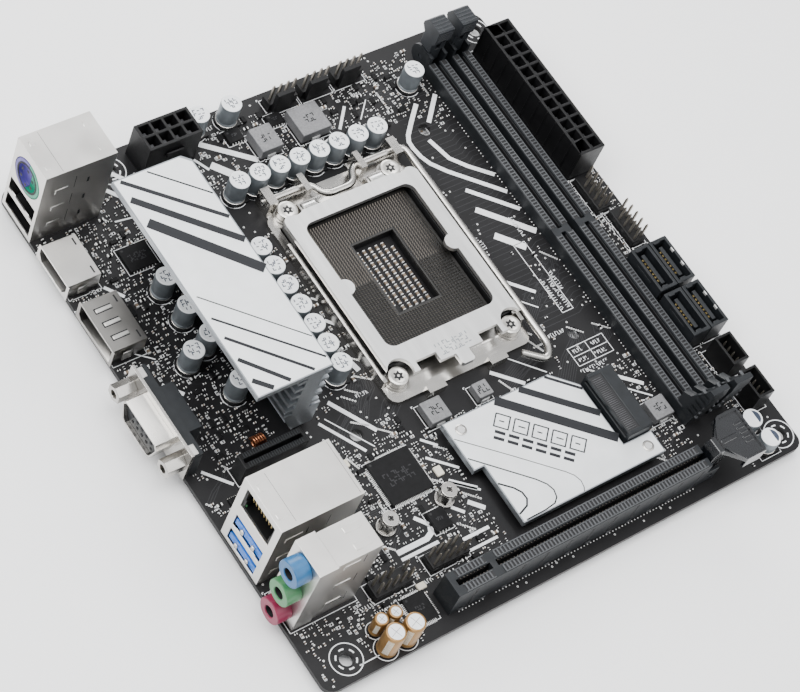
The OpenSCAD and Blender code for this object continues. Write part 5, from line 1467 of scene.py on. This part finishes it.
# hundreds of small parts soldered to the board, in the areas where such a board carries them
partSet = {
    # area, count, and which kinds: c capacitor, r resistor, t transistor
    "areas": [((1, 68, 31, 151), 420, "ccrrrcrt"), ((41.5, 70, 51, 141), 120, "cccr"),
              ((58.4, 74, 63.6, 126), 50, "cc"), ((60, 145, 131, 164), 210, "ccrrt"),
              ((62, 51, 118, 61.5), 120, "ccrrrt"), ((28, 14, 71, 62), 420, "ccrrrrt"),
              ((24.5, 12, 42, 19), 40, "ccr"), ((2, 1.6, 34, 19), 70, "ccr"),
              ((127.5, 12, 139, 48), 90, "ccrr"),
              ((155.5, 74, 169, 105), 100, "ccrr"), ((150, 1.6, 160, 41), 60, "ccr"),
              ((118, 58, 138.5, 97), 14, "cr"), ((128, 138, 138.5, 150), 20, "cr"),
              ((126, 142, 139, 166), 40, "ccr"), ((33, 143.5, 60, 157.5), 90, "ccrr"),
              ((24, 152, 39, 167), 60, "ccrt"), ((11.5, 104, 31, 130), 60, "ccrt"),
              ((1.5, 54, 26, 61), 40, "ccr"), ((27, 20, 40, 61), 80, "ccrr")],
    # length, width and height of each kind
    "sizes": {"c": (0.88, 0.44, 0.42), "r": (0.9, 0.45, 0.3), "t": (2.2, 1.3, 1.0)},
    "grid": 2.5,  # places snap to this many steps a millimetre
    "rowGap": 0.32,
    "margin": 0.15,
    "bigShare": 0.12,
    "framedShare": 0.14,
}
# places of the looks in a small part's list
bodyLook, endLook, darkLook = 0, 1, 2


# a chip capacitor or resistor lying along X or Y, with its two soldered ends
def placeChip(parts, px, py, hx, hy, tall, body, end, across):
    if across:
        parts.block((px - hx + end, py - hy, 0.02), (px + hx - end, py + hy, tall), body, 0.04)
        for a, b in ((px - hx, px - hx + end), (px + hx - end, px + hx)):
            parts.block((a, py - hy - 0.02, 0.02), (b, py + hy + 0.02, tall + 0.03), endLook, 0.05)
    else:
        parts.block((px - hx, py - hy + end, 0.02), (px + hx, py + hy - end, tall), body, 0.04)
        for a, b in ((py - hy, py - hy + end), (py + hy - end, py + hy)):
            parts.block((px - hx - 0.02, a, 0.02), (px + hx + 0.02, b, tall + 0.03), endLook, 0.05)


# a transistor with three leads on one side and one on the other
def placeTransistor(parts, px, py, hx, hy, tall, across):
    parts.block((px - hx, py - hy, 0.02), (px + hx, py + hy, tall), darkLook, 0.12)
    for k in (-1, 0, 1):
        shift = k * 0.7
        if across:
            parts.block((px + shift - 0.18, py - hy - 0.35, 0.02), (px + shift + 0.18, py - hy, 0.2),
                        endLook)
            if k == 0:
                parts.block((px - 0.18, py + hy, 0.02), (px + 0.18, py + hy + 0.35, 0.2), endLook)
        else:
            parts.block((px - hx - 0.35, py + shift - 0.18, 0.02), (px - hx, py + shift + 0.18, 0.2),
                        endLook)
            if k == 0:
                parts.block((px + hx, py - 0.18, 0.02), (px + hx + 0.35, py + 0.18, 0.2), endLook)


def scatterParts():
    parts, bright = Heap(), Heap()
    grid, rowGap, margin = partSet["grid"], partSet["rowGap"], partSet["margin"]
    for (x0, y0, x1, y1), count, kinds in partSet["areas"]:
        tries, put = 0, 0
        while put < count and tries < count * 6:
            tries += 1
            x, y = draw.uniform(x0, x1), draw.uniform(y0, y1)
            kind = draw.choice(kinds)
            across = draw.random() < 0.5
            # small parts come in short rows of the same kind
            run = draw.choice([1, 2, 3, 4, 6]) if kind in "cr" else 1
            x, y = round(x * grid) / grid, round(y * grid) / grid
            long, wide, tall = partSet["sizes"][kind]
            if kind in "cr" and draw.random() < partSet["bigShare"]:
                long, wide, tall = 1.6, 0.8, 0.75 if kind == "c" else 0.45
            for k in range(run):
                px = x + (0 if across else k * (wide + rowGap))
                py = y + (k * (wide + rowGap) if across else 0)
                hx, hy = (long / 2, wide / 2) if across else (wide / 2, long / 2)
                box = (px - hx - margin, py - hy - margin, px + hx + margin, py + hy + margin)
                if not isClear(*box, gap=0.12):
                    break
                standing.append(box)
                put += 1
                if kind == "t":
                    placeTransistor(parts, px, py, hx, hy, tall, across)
                    continue
                body = draw.choice([bodyLook, bodyLook, darkLook]) if kind == "c" else darkLook
                placeChip(parts, px, py, hx, hy, tall, body, long * 0.24, across)
                # thin white frame round some of them
                if draw.random() < partSet["framedShare"]:
                    a0, b0, a1, b1 = box
                    bright.ribbon([(a0, b0), (a1, b0), (a1, b1), (a0, b1), (a0, b0)], 0.12, thick=0.02)
    parts.make("small_parts", [tanCeramic, solder, epoxy, creamCeramic], "chip_black")
    bright.make("small_part_frames", [ink], "board_laminate")


# larger singles: square chips, crystal cans and an open copper coil
singleSet = {
    # middle, width, depth and height
    "chips": [(6.5, 142.5, 3.2, 3.2, 0.9), (12.8, 121.0, 4.0, 4.0, 0.9), (26.5, 40.2, 4.4, 4.4, 0.9),
              (63.4, 22.4, 3.0, 3.0, 0.9), (8.4, 58.0, 3.4, 3.4, 0.9), (82.8, 55.6, 3.2, 3.2, 0.9),
              (128.0, 36.6, 3.4, 3.4, 0.9), (66.0, 153.0, 3.8, 3.8, 0.9), (109.0, 152.2, 3.4, 3.4, 0.9),
              (44.4, 62.2, 5.0, 4.0, 1.0), (30.2, 157.8, 4.2, 4.2, 0.9), (124.2, 65.0, 4.2, 3.2, 0.9)],
    "crystals": [(74.0, 24.4, 2.4, 3.2), (41.5, 54.6, 3.2, 2.4), (64.8, 41.2, 2.4, 3.0),
                 (40.2, 14.5, 2.8, 2.0)],
    "coil": (23.4, 70.7),
    "coilRadius": 1.5,
    "coilTurns": 5,
    "leadPitch": 0.6,
}


def placeSingles():
    bodies, metal, leads = Heap(), Heap(), Heap()
    for x, y, w, d, h in singleSet["chips"]:
        if not isClear(x - w / 2, y - d / 2, x + w / 2, y + d / 2, 0.2):
            continue
        standing.append((x - w / 2 - 0.4, y - d / 2 - 0.4, x + w / 2 + 0.4, y + d / 2 + 0.4))
        bodies.block((x - w / 2, y - d / 2, 0.03), (x + w / 2, y + d / 2, h), 0, 0.1)
        for k in range(int(w / singleSet["leadPitch"])):
            t = x - w / 2 + 0.4 + k * singleSet["leadPitch"]
            leads.block((t - 0.13, y - d / 2 - 0.3, 0.02), (t + 0.13, y - d / 2 + 0.05, 0.22))
            leads.block((t - 0.13, y + d / 2 - 0.05, 0.02), (t + 0.13, y + d / 2 + 0.3, 0.22))
    for x, y, w, d in singleSet["crystals"]:
        if not isClear(x - w / 2, y - d / 2, x + w / 2, y + d / 2, 0.1):
            continue
        standing.append((x - w / 2 - 0.4, y - d / 2 - 0.4, x + w / 2 + 0.4, y + d / 2 + 0.4))
        metal.block((x - w / 2, y - d / 2, 0.03), (x + w / 2, y + d / 2, 0.8), 0, 0.2)
    bodies.make("single_chips", [epoxy], "chip_black", bevel=0.05, steps=1)
    leads.make("single_chip_leads", [tin], "pin_tin")
    metal.make("crystal_cans", [creamCeramic], "chip_green", bevel=0.1)
    # small copper coil near the power inlet
    coil = Heap()
    x, y = singleSet["coil"]
    r, turns, steps = singleSet["coilRadius"], singleSet["coilTurns"], 14
    points = []
    for k in range(turns * steps + 1):
        a = 2 * math.pi * k / steps
        points.append((x - 1.9 + 3.8 * k / (turns * steps), y + r * math.cos(a), 1.9 + r * math.sin(a)))
    for a, b in zip(points, points[1:]):
        coil.rod(a, b, 0.34, 8)
    coil.make("copper_coil", [copper], "inductor_grey")


# underside: solder joints below what is pushed through the board, more small parts and printed marks
underSet = {
    "parts": 420,
    "marks": [(130, 30, 130, 150), (30, 20, 60, 20), (20, 150, 60, 158), (58, 60, 58, 138)],
}


def solderUnderside():
    joints = Heap()
    bottom = -boardT
    deepest = (cadLow.z - cornerAt.z) / mm + 0.12

    def joint(x, y, r=0.75, tall=0.5):
        if 0.9 < x < boardX - 0.9 and 0.9 < y < boardY - 0.9:
            end = max(bottom - tall, deepest)
            joints.lathe(x, y, [(r * 0.3, end), (r * 0.62, (end + bottom) / 2), (r, bottom + 0.02),
                                (r * 0.2, bottom + 0.03)], 12)

    for low, high in solidsOf("header_pins") + solidsOf("power_pins"):
        joint((low.x + high.x) / 2, (low.y + high.y) / 2, 0.8)
    for node in ("dimm_socket_a", "dimm_socket_b"):
        low, high = boxOf(node)
        cx = (low.x + high.x) / 2
        y = 26.5
        while y < memorySet["end"]:
            if abs(y - memorySet["key"]) > memorySet["keyHalf"]:
                for side, shift in ((-1, 0.0), (1, 0.42)):
                    joint(cx + side * 1.1, y + shift, 0.36, 0.4)
                    joint(cx + side * 2.6, y + shift + 0.4, 0.36, 0.4)
            y += 1.7
    low, high = boxOf("pcie_slot")
    x = low.x + 3.6
    while x < 130:
        joint(x, 6.8, 0.36, 0.4)
        joint(x + 0.5, 8.8, 0.36, 0.4)
        x += 2.0
    for node in ("lan_usb3_shell", "ps2_usb_shell", "hdmi_shell", "displayport_shell", "audio_shield"):
        low, high = boxOf(node)
        for x in (max(low.x + 2, 1.6), high.x - 1.6):
            for y in (low.y + 0.8, high.y - 0.8):
                joint(x, y, 1.1, 0.55)
        for k in range(int((high.y - low.y) / 2.2)):
            joint(high.x - 4.0, low.y + 2.0 + k * 2.0, 0.6)
            joint(high.x - 6.4, low.y + 2.8 + k * 2.0, 0.6)
    for low, high in solidsOf("sata_ports"):
        for k in range(7):
            joint(low.x + 2.4 + (k % 2) * 1.3, low.y + 3.9 + k * headerSet["drivePitch"], 0.5)
    for row in range(3):
        for k in range(5):
            joint(3.0 + row * 2.3, 80.9 + k * 2.3, 0.6)
    for low, high in solidsOf("audio_caps"):
        x, y = middleOf(low, high)
        joint(x - 0.9, y, 0.6)
        joint(x + 0.9, y, 0.6)
    joints.make("solder_joints", [solder], "pin_tin")
    under = Heap()
    for _ in range(underSet["parts"]):
        x, y = draw.uniform(2, boardX - 2), draw.uniform(2, boardY - 2)
        if 62.5 < x < 116 and 61.5 < y < 136 or min(abs(x - 143), abs(x - 152)) < 4.5 or y < 11:
            continue
        long, wide = (1.0, 0.5) if draw.random() < 0.5 else (0.5, 1.0)
        z0, z1 = max(bottom - 0.42, deepest), bottom - 0.01
        under.block((x - long / 2, y - wide / 2, z0), (x + long / 2, y + wide / 2, z1), draw.choice([0, 2]))
        if long > wide:
            ends = [(x - long / 2 - 0.03, y - wide / 2), (x + long / 2 - 0.22, y - wide / 2)]
            size = (0.25, wide)
        else:
            ends = [(x - long / 2, y - wide / 2 - 0.03), (x - long / 2, y + wide / 2 - 0.22)]
            size = (long, 0.25)
        for a, b in ends:
            under.block((a, b, max(z0 - 0.04, deepest - 0.04)), (a + size[0], b + size[1], z1), 1)
    under.make("underside_parts", [tanCeramic, solder, epoxy], "chip_black")
    prints = Heap()
    for x, y in silkSet["holes"]:
        prints.arc(x, y, 4.6, 0.3, bottom - 0.03, steps=36)
    for a, b, c, d in underSet["marks"]:
        prints.ribbon([(a, b), (c, d)], 0.25, bottom - 0.03)
    prints.make("underside_marks", [ink], "board_laminate")


placeSingles()
scatterParts()
solderUnderside()
print("small parts and solder placed")
